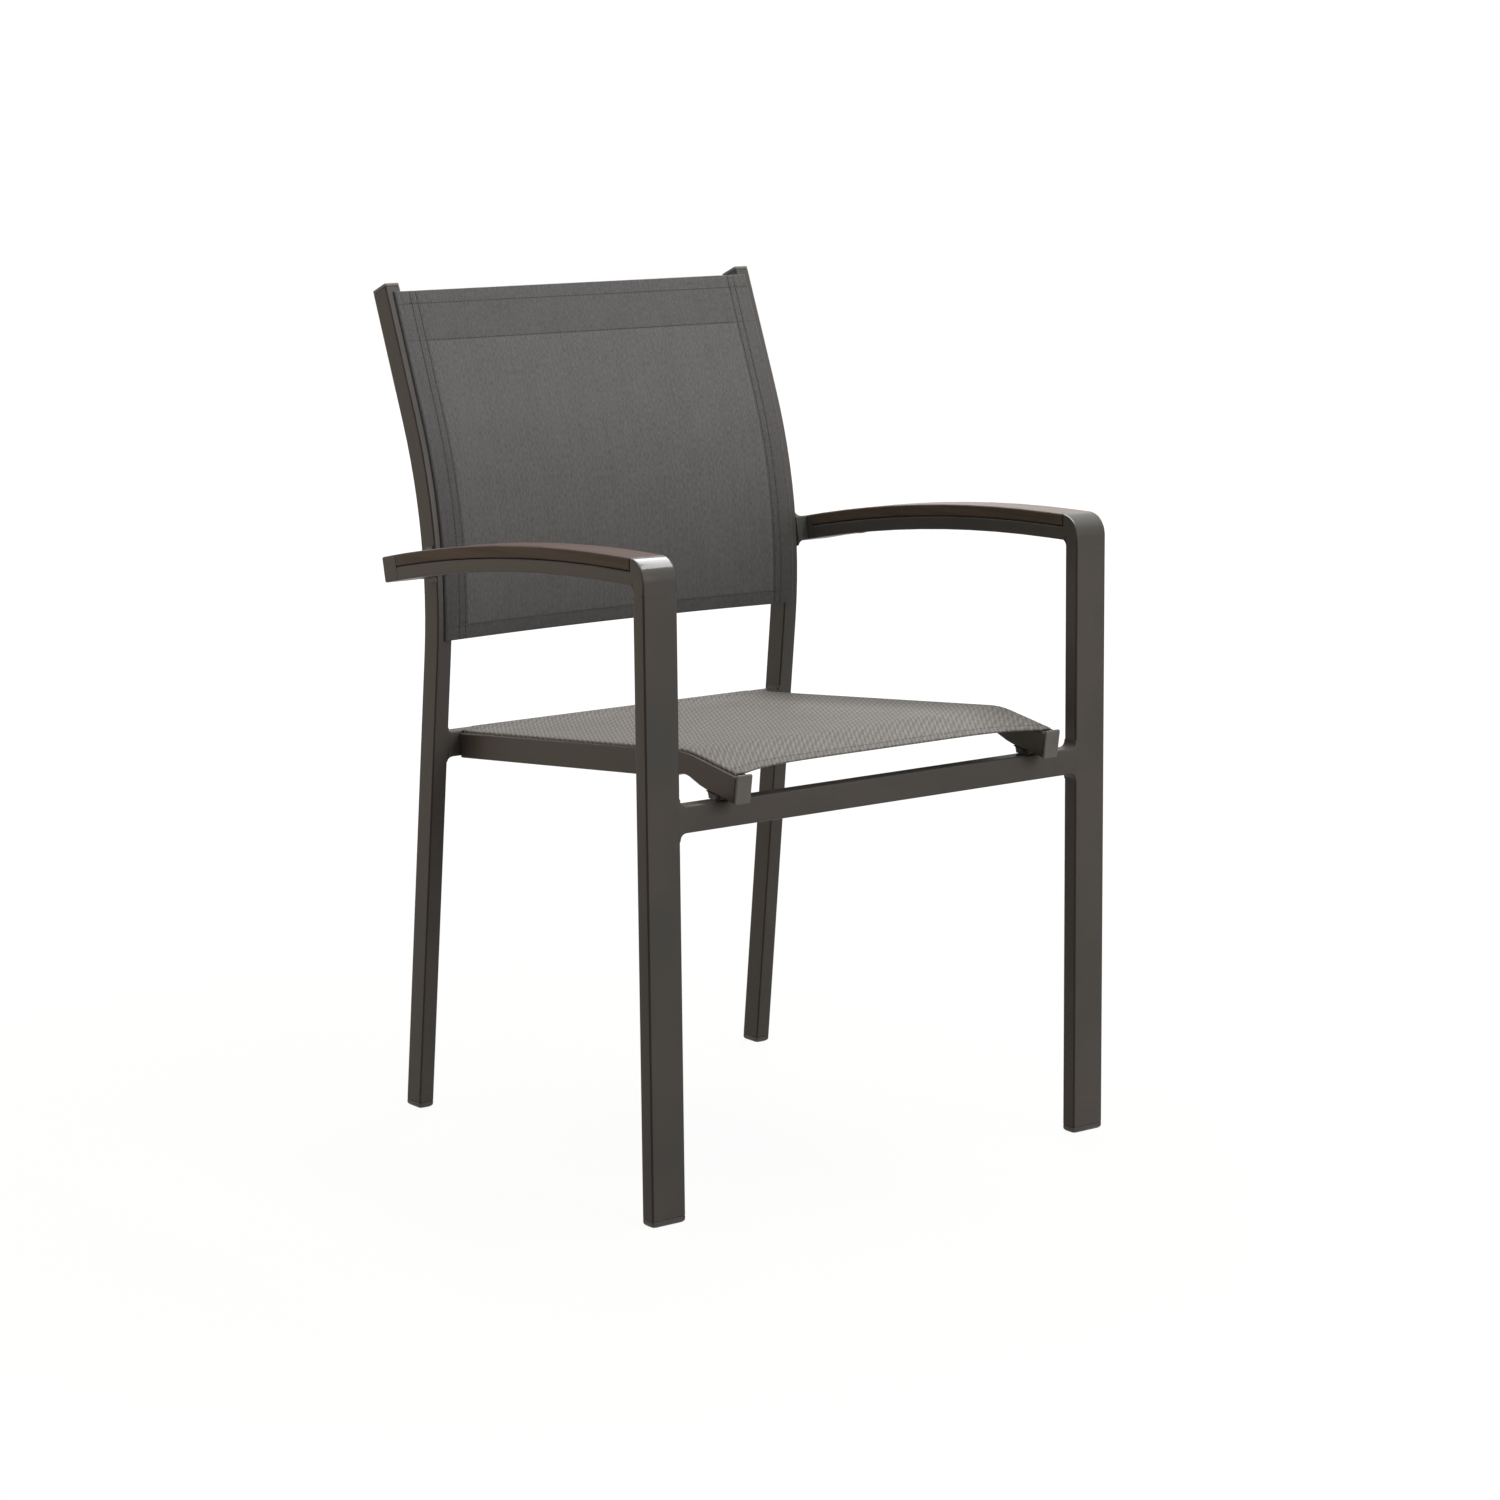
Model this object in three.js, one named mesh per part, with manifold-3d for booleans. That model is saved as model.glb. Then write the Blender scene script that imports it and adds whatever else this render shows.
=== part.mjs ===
// Stacking patio armchair: a welded and powder-coated aluminium frame with a seat and a back of
// mesh fabric stretched between its tubes. Nothing on it moves. Sizes are in millimetres and +Z is
// up. The sitter faces -Y and has +X on the left. Lengths along Y start at the front legs' face.
import * as THREE from "three";
import { mergeVertices } from "three/addons/utils/BufferGeometryUtils.js";
import Module from "manifold-3d";

// Driving dimensions: the whole frame
const chairWidth = 560;
const tubeWall = 1.8;
const tubeRound = 2;
const jointGap = 0.3;
const plugGap = 0.4;
const plugLength = 16;
const cutOverrun = 5;
const tinyStep = 0.5;

// Driving dimensions: front legs, arms and what joins the arms to the back legs
const frontLegWidth = 38;
const frontLegDepth = 17.5;
const armTop = 631.2;
const armHeight = 26;
const armSlatHeight = 12;
const armCornerRadius = 22;
const armCornerReach = 2;
const armInnerRadius = 6;
const armFallStart = 252.6;
const armRearOverhang = 3.57;
const armRearDrop = 41.5;
const armArchRadius = 2063;
const armEndLength = 25;
const armBracketDepth = 15.5;
const armWeldRadius = 9;
const armToBackGap = 14.2;
const armScrewRearInset = 60;
const armScrewFrontInset = 75;

// Driving dimensions: back legs, which run on as the uprights of the back
const uprightWidth = 17.2;
const uprightDepth = 26;
const uprightFootY = 512.1;
const uprightBendY = 439.8;
const uprightBendZ = 606.8;
const uprightTopY = 536.4;
const uprightTopZ = 852.5;
const uprightBendRadius = 496;
const uprightCapHeight = 3.5;
const footHeight = 6.5;

// Driving dimensions: seat frame
const seatRailWidth = 17.9;
const seatRailHeight = 25.5;
const seatFrontY = -25;
const seatCrestY = 56.3;
const seatCrestZ = 437.3;
const seatFrontFall = 13.2;
const seatRearFall = 35.2;
const seatBendRadius = 125;
const seatDimpleDepth = 4.8;
const seatDimpleRun = 38;
const backToSeatGap = 13.6;
const seatCapLength = 3;
const seatCapLip = 0.4;
const frontBarHeight = 26;
const frontWeldRadius = 5.5;
const rearBarRise = 2.3;
const rearBarHeight = 26;
const rearBarDepth = 17.5;
const rearWeldRadius = 4;
const spacerFrontHeight = 3.76;
const spacerInset = 2;
const spacerWeldRun = 6.5;
const spacerWeldRise = 7.4;
const spacerBeadRadius = 5;
const spacerBeadWidthShare = 0.6;
const capRound = 1;

// Driving dimensions: slings, their channels and the rods that hold them there
const slingThickness = 2.2;
const slingClearance = 0.4;
const channelWidth = 3.3;
const slingReach = 1.6;
const rodDiameter = 5.2;
const rodSideGap = 0.6;
const backSlingTopDrop = 10;
const backSlingGap = 97.6;
const backSlingBow = 9;
const seatSlingFrontInset = 6;
const seatSlingOverhang = 10;
const seatSlingSag = 3;
const seatSlingFrontHollow = 11;
const seatSlingCornerRadius = 26;
const seatSlingRearRise = 28;
const spreaderHeight = 30;
const spreaderThickness = 5;
const spreaderRound = 1;
const spreaderTopDrop = 28;

// Driving dimensions: screws
const screwDiameter = 4;
const screwHeadDiameter = 8.4;
const screwHeadHeight = 2.4;
const screwGrip = 7;

// The rim of a screw's head, as shares of its radius and its height
const screwRimShares = [
  [0.6, 1],
  [0.9, 0.7],
  [1, 0],
];

// The hollow face of a weld, as shares of its radius out along the bar and up from it
const weldFaceShares = [
  [0, 0.62],
  [0.08, 0.62],
  [0.3, 0.28],
  [0.6, 0.08],
  [1, 0],
];

// How finely round forms are cut into flats
const arcDetail = 2;
const armCornerDetail = 6;
const slingCornerDetail = 5;
const roundSides = 12;
const rodSides = 8;
const backBendSteps = 12;
const armBendSteps = 10;
const seatBendSteps = 6;
const dimpleShares = [-1, -0.72, 0.72, 1];
const heightTolerance = 0.001;
const slingSpacing = 24;
const slingColumns = 12;

const wasm = await Module();
wasm.setup();

const paint = (name, color, roughness, metalness) =>
  new THREE.MeshStandardMaterial({ name, color, roughness, metalness });
const aluminium = () => paint("powder-coated aluminium", 0x4b4743, 0.55, 0.15);
const slatPaint = () => paint("textured slat finish", 0x5b534a, 0.6, 0.05);
const plastic = () => paint("moulded plastic", 0x45423f, 0.65, 0);
const steel = () => paint("blackened steel", 0x3c3a38, 0.4, 0.8);
const seatMesh = () => paint("woven seat mesh", 0x8c8982, 0.85, 0);
const backMesh = () => paint("woven back mesh", 0x6f6d69, 0.85, 0);

const chair = new THREE.Group();

// Adds one sub-part to the chair under its own name
function addPiece(name, geometry, material) {
  const mesh = new THREE.Mesh(geometry, material);
  mesh.name = name;
  chair.add(mesh);
}

const xAxis = new THREE.Vector3(1, 0, 0);
const yAxis = new THREE.Vector3(0, 1, 0);
const zAxis = new THREE.Vector3(0, 0, 1);
const runsAlongX = new THREE.Matrix4().makeBasis(yAxis, zAxis, xAxis);
const runsAlongY = new THREE.Matrix4().makeBasis(xAxis, zAxis, yAxis.clone().negate());
const runsAlongZ = new THREE.Matrix4();

// A closed geometry as a solid that can be joined and cut
function solid(geometry) {
  const bare = geometry.clone();
  bare.deleteAttribute("normal");
  bare.deleteAttribute("uv");
  const merged = mergeVertices(bare);
  return new wasm.Manifold(
    new wasm.Mesh({
      numProp: 3,
      vertProperties: new Float32Array(merged.attributes.position.array),
      triVerts: new Uint32Array(merged.index.array),
    }),
  );
}

// The surface of a finished solid as a geometry
function surface(body) {
  const { vertProperties, triVerts } = body.getMesh();
  const geometry = new THREE.BufferGeometry();
  geometry.setAttribute("position", new THREE.BufferAttribute(vertProperties, 3));
  geometry.setIndex(new THREE.BufferAttribute(triVerts, 1));
  geometry.computeVertexNormals();
  return geometry;
}

// A rectangle with round corners, centred on x and reaching from low to high
function roundedRect(width, low, high, round) {
  const side = width / 2;
  const shape = new THREE.Shape();
  shape.moveTo(-side + round, low);
  shape.lineTo(side - round, low);
  shape.absarc(side - round, low + round, round, -Math.PI / 2, 0);
  shape.lineTo(side, high - round);
  shape.absarc(side - round, high - round, round, 0, Math.PI / 2);
  shape.lineTo(-side + round, high);
  shape.absarc(-side + round, high - round, round, Math.PI / 2, Math.PI);
  shape.lineTo(-side, low + round);
  shape.absarc(-side + round, low + round, round, Math.PI, Math.PI * 1.5);
  return shape;
}

// A plain rectangle, centred on x and reaching from low to high
function plainRect(width, low, high) {
  const side = width / 2;
  return new THREE.Shape([
    new THREE.Vector2(-side, low),
    new THREE.Vector2(side, low),
    new THREE.Vector2(side, high),
    new THREE.Vector2(-side, high),
  ]);
}

// The section of a hollow tube with round outer corners
function tubeSection(width, low, high) {
  const shape = roundedRect(width, low, high, tubeRound);
  shape.holes.push(plainRect(width - 2 * tubeWall, low + tubeWall, high - tubeWall));
  return shape;
}

// A shape extruded to both sides of its own plane, turned to run along one axis
function prism(shape, length, direction) {
  const body = new THREE.ExtrudeGeometry(shape, {
    depth: length,
    bevelEnabled: false,
    curveSegments: arcDetail,
  });
  body.translate(0, 0, -length / 2);
  return body.applyMatrix4(direction);
}

// A shape extruded like a prism, with the edges of both end faces rounded
function softPrism(shape, length, round, direction) {
  const body = new THREE.ExtrudeGeometry(shape, {
    depth: length - 2 * round,
    bevelThickness: round,
    bevelSize: round,
    bevelOffset: -round,
    bevelSegments: arcDetail,
    curveSegments: arcDetail,
  });
  body.translate(0, 0, round - length / 2);
  return body.applyMatrix4(direction);
}

// A side-view line of two straights and the round bend between them. It runs down the back legs
// and forward along the arms and rails, so that its outward side is the front or the top.
function bentLine(start, corner, end, radius, bendSteps) {
  const first = corner.clone().sub(start);
  const last = end.clone().sub(corner);
  const turn = Math.atan2(first.cross(last), first.dot(last));
  const trim = radius * Math.tan(Math.abs(turn) / 2);
  const lead = first.length() - trim;
  const bend = radius * Math.abs(turn);
  const length = lead + bend + last.length() - trim;
  const heading = (angle) => new THREE.Vector2(Math.cos(angle), Math.sin(angle));

  function at(distance) {
    const turned = turn * THREE.MathUtils.clamp((distance - lead) / bend, 0, 1);
    const chord = 2 * radius * Math.sin(Math.abs(turned) / 2);
    const direction = heading(first.angle() + turned);
    const place = start
      .clone()
      .addScaledVector(heading(first.angle()), Math.min(distance, lead))
      .addScaledVector(heading(first.angle() + turned / 2), chord)
      .addScaledVector(direction, Math.max(distance - lead - bend, 0));
    const outward = new THREE.Vector2(direction.y, -direction.x);
    return { place, direction, outward };
  }

  function stations(from, to, spacing = length, extra = []) {
    const inBend = Array.from({ length: bendSteps + 1 }, (_, step) => lead + (bend * step) / bendSteps);
    const spans = Math.ceil((to - from) / spacing);
    const even = Array.from({ length: spans }, (_, step) => from + ((to - from) * step) / spans);
    const inside = (mark) => mark > from + tinyStep && mark < to - tinyStep;
    const marks = [...inBend, ...even, ...extra].filter(inside);
    marks.sort((a, b) => a - b);
    const spread = marks.filter((mark, index) => index === 0 || mark - marks[index - 1] > tinyStep);
    return [from, ...spread, to];
  }

  // The distance at which a line that only falls passes a height
  function distanceAt(height) {
    let above = 0;
    let below = length;
    while (below - above > heightTolerance) {
      const middle = (above + below) / 2;
      if (at(middle).place.y > height) above = middle;
      else below = middle;
    }
    return above;
  }

  return { at, stations, distanceAt, length, bendMiddle: lead + bend / 2 };
}

// Sweeps a section along a bent line: its x stays x, and its y points out of the line. A lift
// moves a point further out, and a slide further on, by where it is across, along and outward.
function sweep(section, line, from, to, { lift = () => 0, slide = () => 0, spacing, marks } = {}) {
  const stations = line.stations(from, to, spacing, marks);
  const rings = stations.length - 1;
  const body = new THREE.ExtrudeGeometry(section, {
    depth: rings,
    steps: rings,
    bevelEnabled: false,
    curveSegments: arcDetail,
  });
  const points = body.attributes.position;
  for (let index = 0; index < points.count; index += 1) {
    const across = points.getX(index);
    const out = points.getY(index);
    const distance = stations[Math.round(points.getZ(index))];
    const { place, outward } = line.at(distance + slide(across, distance));
    place.addScaledVector(outward, out + lift(across, distance, out));
    points.setXYZ(index, across, place.x, place.y);
  }
  return body;
}

// The place on a bent line where x is across, y points out and z runs on along the line
function frameOn(line, distance, x, out) {
  const { place, direction, outward } = line.at(distance);
  place.addScaledVector(outward, out);
  return new THREE.Matrix4()
    .makeBasis(
      xAxis,
      new THREE.Vector3(0, outward.x, outward.y),
      new THREE.Vector3(0, direction.x, direction.y),
    )
    .setPosition(x, place.x, place.y);
}

// A round bar whose axis points out of the line or along Z
function roundBar(diameter, from, to, sides = roundSides) {
  const bar = new THREE.CylinderGeometry(diameter / 2, diameter / 2, to - from, sides);
  return bar.translate(0, (from + to) / 2, 0);
}

// A pan-head screw: its head lies below zero and its shank points up along y
function panScrew(headDiameter, headHeight, diameter, reach) {
  const shank = diameter / 2;
  const rim = screwRimShares.map(
    ([out, down]) => new THREE.Vector2((headDiameter / 2) * out, -headHeight * down),
  );
  const profile = [
    new THREE.Vector2(0, -headHeight),
    ...rim,
    new THREE.Vector2(shank, 0),
    new THREE.Vector2(shank, reach - shank / 2),
    new THREE.Vector2(shank / 2, reach),
    new THREE.Vector2(0, reach),
  ];
  return new THREE.LatheGeometry(profile, roundSides);
}

// The hollow of a weld between a bar end at x and the face it meets, sunk a wall deep in the bar
function weldFillet(radius, depth, sign) {
  const shape = new THREE.Shape();
  shape.moveTo(0, -tubeWall / 2);
  weldFaceShares.forEach(([out, up]) => shape.lineTo(-radius * out, radius * up));
  shape.lineTo(-radius, -tubeWall / 2);
  const fillet = prism(shape, depth, runsAlongY);
  return sign > 0 ? fillet : fillet.rotateZ(Math.PI);
}

// Adds the welds above and below the ends of a bar that runs along X, given by their signs
function withWelds(bar, length, low, high, radius, depth, ends = [1, -1]) {
  let body = bar;
  for (const sign of ends) {
    const above = weldFillet(radius, depth, sign).translate((sign * length) / 2, 0, high);
    const below = weldFillet(radius, depth, -sign)
      .rotateY(Math.PI)
      .translate((sign * length) / 2, 0, low);
    body = body.add(solid(above)).add(solid(below));
  }
  return body;
}

const sides = [
  ["left", 1],
  ["right", -1],
];
const backWidth = chairWidth - 2 * (frontLegWidth + armToBackGap);
const seatFrameWidth = backWidth - 2 * (uprightWidth + backToSeatGap);
const armX = (chairWidth - frontLegWidth) / 2;
const armInnerX = chairWidth / 2 - frontLegWidth;
const uprightX = (backWidth - uprightWidth) / 2;
const uprightInnerX = backWidth / 2 - uprightWidth;
const seatRailX = (seatFrameWidth - seatRailWidth) / 2;
const seatRailInnerX = seatFrameWidth / 2 - seatRailWidth;

const uprightLine = bentLine(
  new THREE.Vector2(uprightTopY, uprightTopZ),
  new THREE.Vector2(uprightBendY, uprightBendZ),
  new THREE.Vector2(uprightFootY, 0),
  uprightBendRadius,
  backBendSteps,
);
const armRearZ = armTop - armRearDrop;
const armRearY = uprightLine.at(uprightLine.distanceAt(armRearZ)).place.x + armRearOverhang;
const armLine = bentLine(
  new THREE.Vector2(armRearY, armRearZ),
  new THREE.Vector2(armFallStart, armTop),
  new THREE.Vector2(0, armTop),
  armArchRadius,
  armBendSteps,
);

// The rear bar stands flush with the front faces of the back legs, just above the rails' rear ends
const uprightFaceLean = (uprightFootY - uprightBendY) / uprightBendZ;
const seatRearZ = seatCrestZ - seatRearFall;
const rearBarTop = seatRearZ + rearBarRise;
const rearBarMiddleZ = rearBarTop - rearBarHeight / 2;
const rearBarFrontY = uprightFootY - uprightFaceLean * rearBarMiddleZ - uprightDepth / 2;
const seatRearY = rearBarFrontY - jointGap;
const seatLine = bentLine(
  new THREE.Vector2(seatRearY, seatRearZ),
  new THREE.Vector2(seatCrestY, seatCrestZ),
  new THREE.Vector2(seatFrontY, seatCrestZ - seatFrontFall),
  seatBendRadius,
  seatBendSteps,
);

// The front bar lies under the sloping front ends of the rails, a spacer's height below them
const seatFrontSlope = seatFrontFall / (seatCrestY - seatFrontY);
const seatRailFall = seatRailHeight * Math.hypot(1, seatFrontSlope);
const railFrontUnderZ = seatCrestZ - seatFrontSlope * seatCrestY - seatRailFall;
const frontBarTop = railFrontUnderZ - spacerFrontHeight;

// Front legs: upright tubes of flat oblong section, closed by the arm above and a foot below
const armCornerHeight = armHeight + armInnerRadius + armCornerReach;
const armCornerBottom = armTop - armCornerHeight;
for (const [side, sign] of sides) {
  const section = tubeSection(frontLegWidth, 0, frontLegDepth);
  const low = footHeight + jointGap;
  const high = armCornerBottom - jointGap;
  const leg = prism(section, high - low, runsAlongZ);
  leg.translate(sign * armX, 0, (low + high) / 2);
  addPiece(`front_leg_${side}`, leg, aluminium());
}

// Feet: moulded glides with a plug up inside each leg
function plugSection(width, low, high) {
  const inset = tubeWall + plugGap;
  return plainRect(width - 2 * inset, low + inset, high - inset);
}
for (const [side, sign] of sides) {
  const pad = prism(roundedRect(frontLegWidth, 0, frontLegDepth, tubeRound), footHeight, runsAlongZ);
  pad.translate(0, 0, footHeight / 2);
  const plug = prism(plugSection(frontLegWidth, 0, frontLegDepth), plugLength + tinyStep, runsAlongZ);
  plug.translate(0, 0, footHeight + (plugLength - tinyStep) / 2);
  const foot = surface(solid(pad).add(solid(plug))).translate(sign * armX, 0, 0);
  addPiece(`front_foot_${side}`, foot, plastic());
}

// A slab that spans the back leg between two heights
function slab(low, high) {
  const block = new THREE.BoxGeometry(chairWidth, chairWidth, high - low);
  return solid(block.translate(0, uprightFootY, (low + high) / 2));
}
const halfUpright = uprightDepth / 2;
const floorEnd = uprightLine.length + cutOverrun;
const footStart = floorEnd - 2 * plugLength;
for (const [side, sign] of sides) {
  const outline = roundedRect(uprightWidth, -halfUpright, halfUpright, tubeRound);
  const whole = solid(sweep(outline, uprightLine, footStart, floorEnd));
  const plugOutline = plugSection(uprightWidth, -halfUpright, halfUpright);
  const core = solid(sweep(plugOutline, uprightLine, footStart, floorEnd));
  const pad = whole.intersect(slab(0, footHeight));
  const plug = core.intersect(slab(footHeight - tinyStep, footHeight + plugLength));
  addPiece(`back_foot_${side}`, surface(pad.add(plug)).translate(sign * uprightX, 0, 0), plastic());
}

// Back legs: one bent tube each, with a channel down the front face that holds the back sling
const backSlingTop = backSlingTopDrop;
const backSlingBottom = uprightLine.distanceAt(rearBarTop + backSlingGap);
const backChannelX = backWidth / 2 - uprightWidth / 2;
for (const [side, sign] of sides) {
  const section = tubeSection(uprightWidth, -halfUpright, halfUpright);
  const tube = solid(sweep(section, uprightLine, uprightCapHeight + jointGap, floorEnd));
  const channel = sweep(
    plainRect(channelWidth, halfUpright - tubeWall - tinyStep, halfUpright + cutOverrun),
    uprightLine,
    backSlingTop - tinyStep,
    backSlingBottom + tinyStep,
  );
  const below = slab(-uprightDepth, footHeight + jointGap);
  const leg = surface(tube.subtract(solid(channel)).subtract(below));
  addPiece(`back_leg_${side}`, leg.translate(sign * uprightX, 0, 0), aluminium());
}

// Caps that close the tops of the back legs, with plugs that end above the rods
for (const [side, sign] of sides) {
  const top = roundedRect(uprightWidth, -halfUpright, halfUpright, tubeRound);
  const lid = softPrism(top, uprightCapHeight, capRound, runsAlongZ);
  lid.translate(0, 0, uprightCapHeight / 2);
  const plugFrom = uprightCapHeight - tinyStep;
  const plugTo = backSlingTop - tinyStep;
  const outline = plugSection(uprightWidth, -halfUpright, halfUpright);
  const plug = prism(outline, plugTo - plugFrom, runsAlongZ);
  plug.translate(0, 0, (plugFrom + plugTo) / 2);
  const cap = surface(solid(lid).add(solid(plug)));
  cap.applyMatrix4(frameOn(uprightLine, 0, sign * uprightX, 0));
  addPiece(`back_cap_${side}`, cap, plastic());
}

// Arms: a shallow hollow rail that turns down into the front leg, with room on top for a slat
const bandTop = -armSlatHeight - jointGap;
const slatFront = armCornerRadius;
const armSlatEnd = armLine.length - slatFront - jointGap;
for (const [side, sign] of sides) {
  const corner = new THREE.Shape();
  const bandBottomZ = armTop - armHeight;
  corner.moveTo(0, armCornerBottom);
  corner.lineTo(frontLegDepth, armCornerBottom);
  corner.lineTo(frontLegDepth, bandBottomZ - armInnerRadius);
  corner.absarc(
    frontLegDepth + armInnerRadius,
    bandBottomZ - armInnerRadius,
    armInnerRadius,
    Math.PI,
    Math.PI / 2,
    true,
  );
  corner.lineTo(frontLegDepth + armInnerRadius, armTop + bandTop);
  corner.lineTo(slatFront, armTop + bandTop);
  corner.lineTo(slatFront, armTop);
  corner.absarc(armCornerRadius, armTop - armCornerRadius, armCornerRadius, Math.PI / 2, Math.PI);
  const knee = new THREE.ExtrudeGeometry(corner, {
    depth: frontLegWidth - 2 * tubeRound,
    bevelThickness: tubeRound,
    bevelSize: tubeRound,
    bevelOffset: -tubeRound,
    bevelSegments: arcDetail,
    curveSegments: armCornerDetail,
  });
  knee.translate(0, 0, tubeRound - frontLegWidth / 2).applyMatrix4(runsAlongX);
  const kneeEnd = armLine.length - frontLegDepth - tubeRound;
  const outline = roundedRect(frontLegWidth, -armHeight, bandTop, tubeRound);
  const band = sweep(outline, armLine, armEndLength + jointGap, kneeEnd);
  const bore = plainRect(frontLegWidth - 2 * tubeWall, -armHeight + tubeWall, bandTop - tubeWall);
  const bandBore = sweep(bore, armLine, armEndLength - cutOverrun, armLine.length - tubeWall);
  const legBore = plainRect(frontLegWidth - 2 * tubeWall, tubeWall, frontLegDepth - tubeWall);
  const legBoreHeight = armCornerHeight + bandTop - 2 * tubeWall;
  const down = prism(legBore, legBoreHeight + cutOverrun, runsAlongZ);
  down.translate(0, 0, armCornerBottom + (legBoreHeight - cutOverrun) / 2);
  let rail = solid(knee).add(solid(band)).subtract(solid(bandBore)).subtract(solid(down));
  for (const place of armScrewPlaces()) {
    const hole = roundBar(screwDiameter + plugGap, -armHeight - cutOverrun, bandTop + cutOverrun);
    rail = rail.subtract(solid(hole.applyMatrix4(frameOn(armLine, place, 0, 0))));
  }
  addPiece(`arm_rail_${side}`, surface(rail).translate(sign * armX, 0, 0), aluminium());
}

// Distances along the arm, from its rear end, of the screws that hold the slat
function armScrewPlaces() {
  return [armEndLength + armScrewRearInset, armSlatEnd - armScrewFrontInset];
}

// Slats let into the tops of the arms, with blind holes for their screws
for (const [side, sign] of sides) {
  const outline = roundedRect(frontLegWidth, -armSlatHeight, 0, tubeRound);
  let slat = solid(sweep(outline, armLine, armEndLength + jointGap, armSlatEnd));
  for (const place of armScrewPlaces()) {
    const hole = roundBar(screwDiameter + plugGap, -armSlatHeight - cutOverrun, screwGrip - armSlatHeight);
    slat = slat.subtract(solid(hole.applyMatrix4(frameOn(armLine, place, 0, 0))));
  }
  addPiece(`arm_slat_${side}`, surface(slat).translate(sign * armX, 0, 0), slatPaint());
  armScrewPlaces().forEach((place, index) => {
    const reach = armHeight - armSlatHeight + screwGrip - plugGap;
    const screw = panScrew(screwHeadDiameter, screwHeadHeight, screwDiameter, reach);
    screw.applyMatrix4(frameOn(armLine, place, sign * armX, -armHeight - jointGap));
    addPiece(`arm_screw_${side}_${index + 1}`, screw, steel());
  });
}

// End blocks that close the arms behind and carry the brackets to the back legs
for (const [side, sign] of sides) {
  const outline = roundedRect(frontLegWidth, -armHeight, 0, tubeRound);
  const block = solid(sweep(outline, armLine, 0, armEndLength));
  const inset = tubeWall + plugGap;
  const tongue = plainRect(frontLegWidth - 2 * inset, inset - armHeight, bandTop - inset);
  const plug = sweep(tongue, armLine, armEndLength - tinyStep, armEndLength + plugLength);
  const end = surface(block.add(solid(plug))).translate(sign * armX, 0, 0);
  addPiece(`arm_end_${side}`, end, aluminium());
}

// Brackets between the arms' end blocks and the back legs, with hollow welds against the legs
for (const [side, sign] of sides) {
  const length = armInnerX - backWidth / 2 - 2 * jointGap;
  const half = armHeight / 2;
  const section = roundedRect(armBracketDepth, -half, half, tubeRound);
  const core = solid(prism(section, length, runsAlongX));
  const weldDepth = armBracketDepth - 2 * tubeRound;
  const bracket = withWelds(core, length, -half, half, armWeldRadius, weldDepth, [-sign]);
  const spot = armLine.at(armBracketDepth / 2);
  const middle = spot.place.clone().addScaledVector(spot.outward, -half);
  const tilt = Math.atan2(-spot.direction.y, -spot.direction.x);
  const shape = surface(bracket).rotateX(tilt);
  shape.translate((sign * (armInnerX + backWidth / 2)) / 2, middle.x, middle.y);
  addPiece(`arm_bracket_${side}`, shape, aluminium());
}

// Front bar between the front legs, flush with their faces
{
  const length = 2 * (armInnerX - jointGap);
  const tube = solid(prism(barSection(frontLegDepth, frontBarHeight), length, runsAlongX));
  const low = -frontBarHeight / 2;
  const weldDepth = frontLegDepth - 2 * tubeRound;
  const bar = withWelds(tube, length, low, -low, frontWeldRadius, weldDepth);
  const place = [0, frontLegDepth / 2, frontBarTop - frontBarHeight / 2];
  addPiece("front_bar", surface(bar).translate(...place), aluminium());
}

// The section of a bar that runs along X, centred on its axis
function barSection(depth, height) {
  return tubeSection(depth, -height / 2, height / 2);
}

// Rear bar between the back legs, which the seat rails run up to
{
  const length = 2 * (uprightInnerX - jointGap);
  const tube = solid(prism(barSection(rearBarDepth, rearBarHeight), length, runsAlongX));
  const low = -rearBarHeight / 2;
  const weldDepth = rearBarDepth - 2 * tubeRound;
  const bar = withWelds(tube, length, low, -low, rearWeldRadius, weldDepth);
  const place = [0, rearBarFrontY + rearBarDepth / 2, rearBarMiddleZ];
  addPiece("rear_bar", surface(bar).translate(...place), aluminium());
}

// Seat rails: tubes that rise to the front and are bent down over the front bar in a press, which
// leaves their lower wall pushed in under the bend
const seatSlingChannelX = seatFrameWidth / 2 - tubeWall - rodSideGap - rodDiameter / 2;
const seatSlingFront = seatLine.length - seatSlingFrontInset;
const dimple = (_, distance, out) => {
  const along = Math.min(Math.abs(distance - seatLine.bendMiddle) / seatDimpleRun, 1);
  return out < -seatRailHeight / 2 ? (seatDimpleDepth * (1 + Math.cos(Math.PI * along))) / 2 : 0;
};
const dimpleMarks = dimpleShares.map((share) => seatLine.bendMiddle + seatDimpleRun * share);
for (const [side, sign] of sides) {
  const section = tubeSection(seatRailWidth, -seatRailHeight, 0);
  const options = { lift: dimple, marks: dimpleMarks };
  const tube = solid(sweep(section, seatLine, 0, seatLine.length, options));
  const channel = sweep(
    plainRect(channelWidth, -tubeWall - tinyStep, cutOverrun),
    seatLine,
    -cutOverrun,
    seatSlingFront + tinyStep,
  ).translate(sign * (seatSlingChannelX - seatRailX), 0, 0);
  const rail = surface(tube.subtract(solid(channel)));
  addPiece(`seat_rail_${side}`, rail.translate(sign * seatRailX, 0, 0), aluminium());
}

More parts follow.
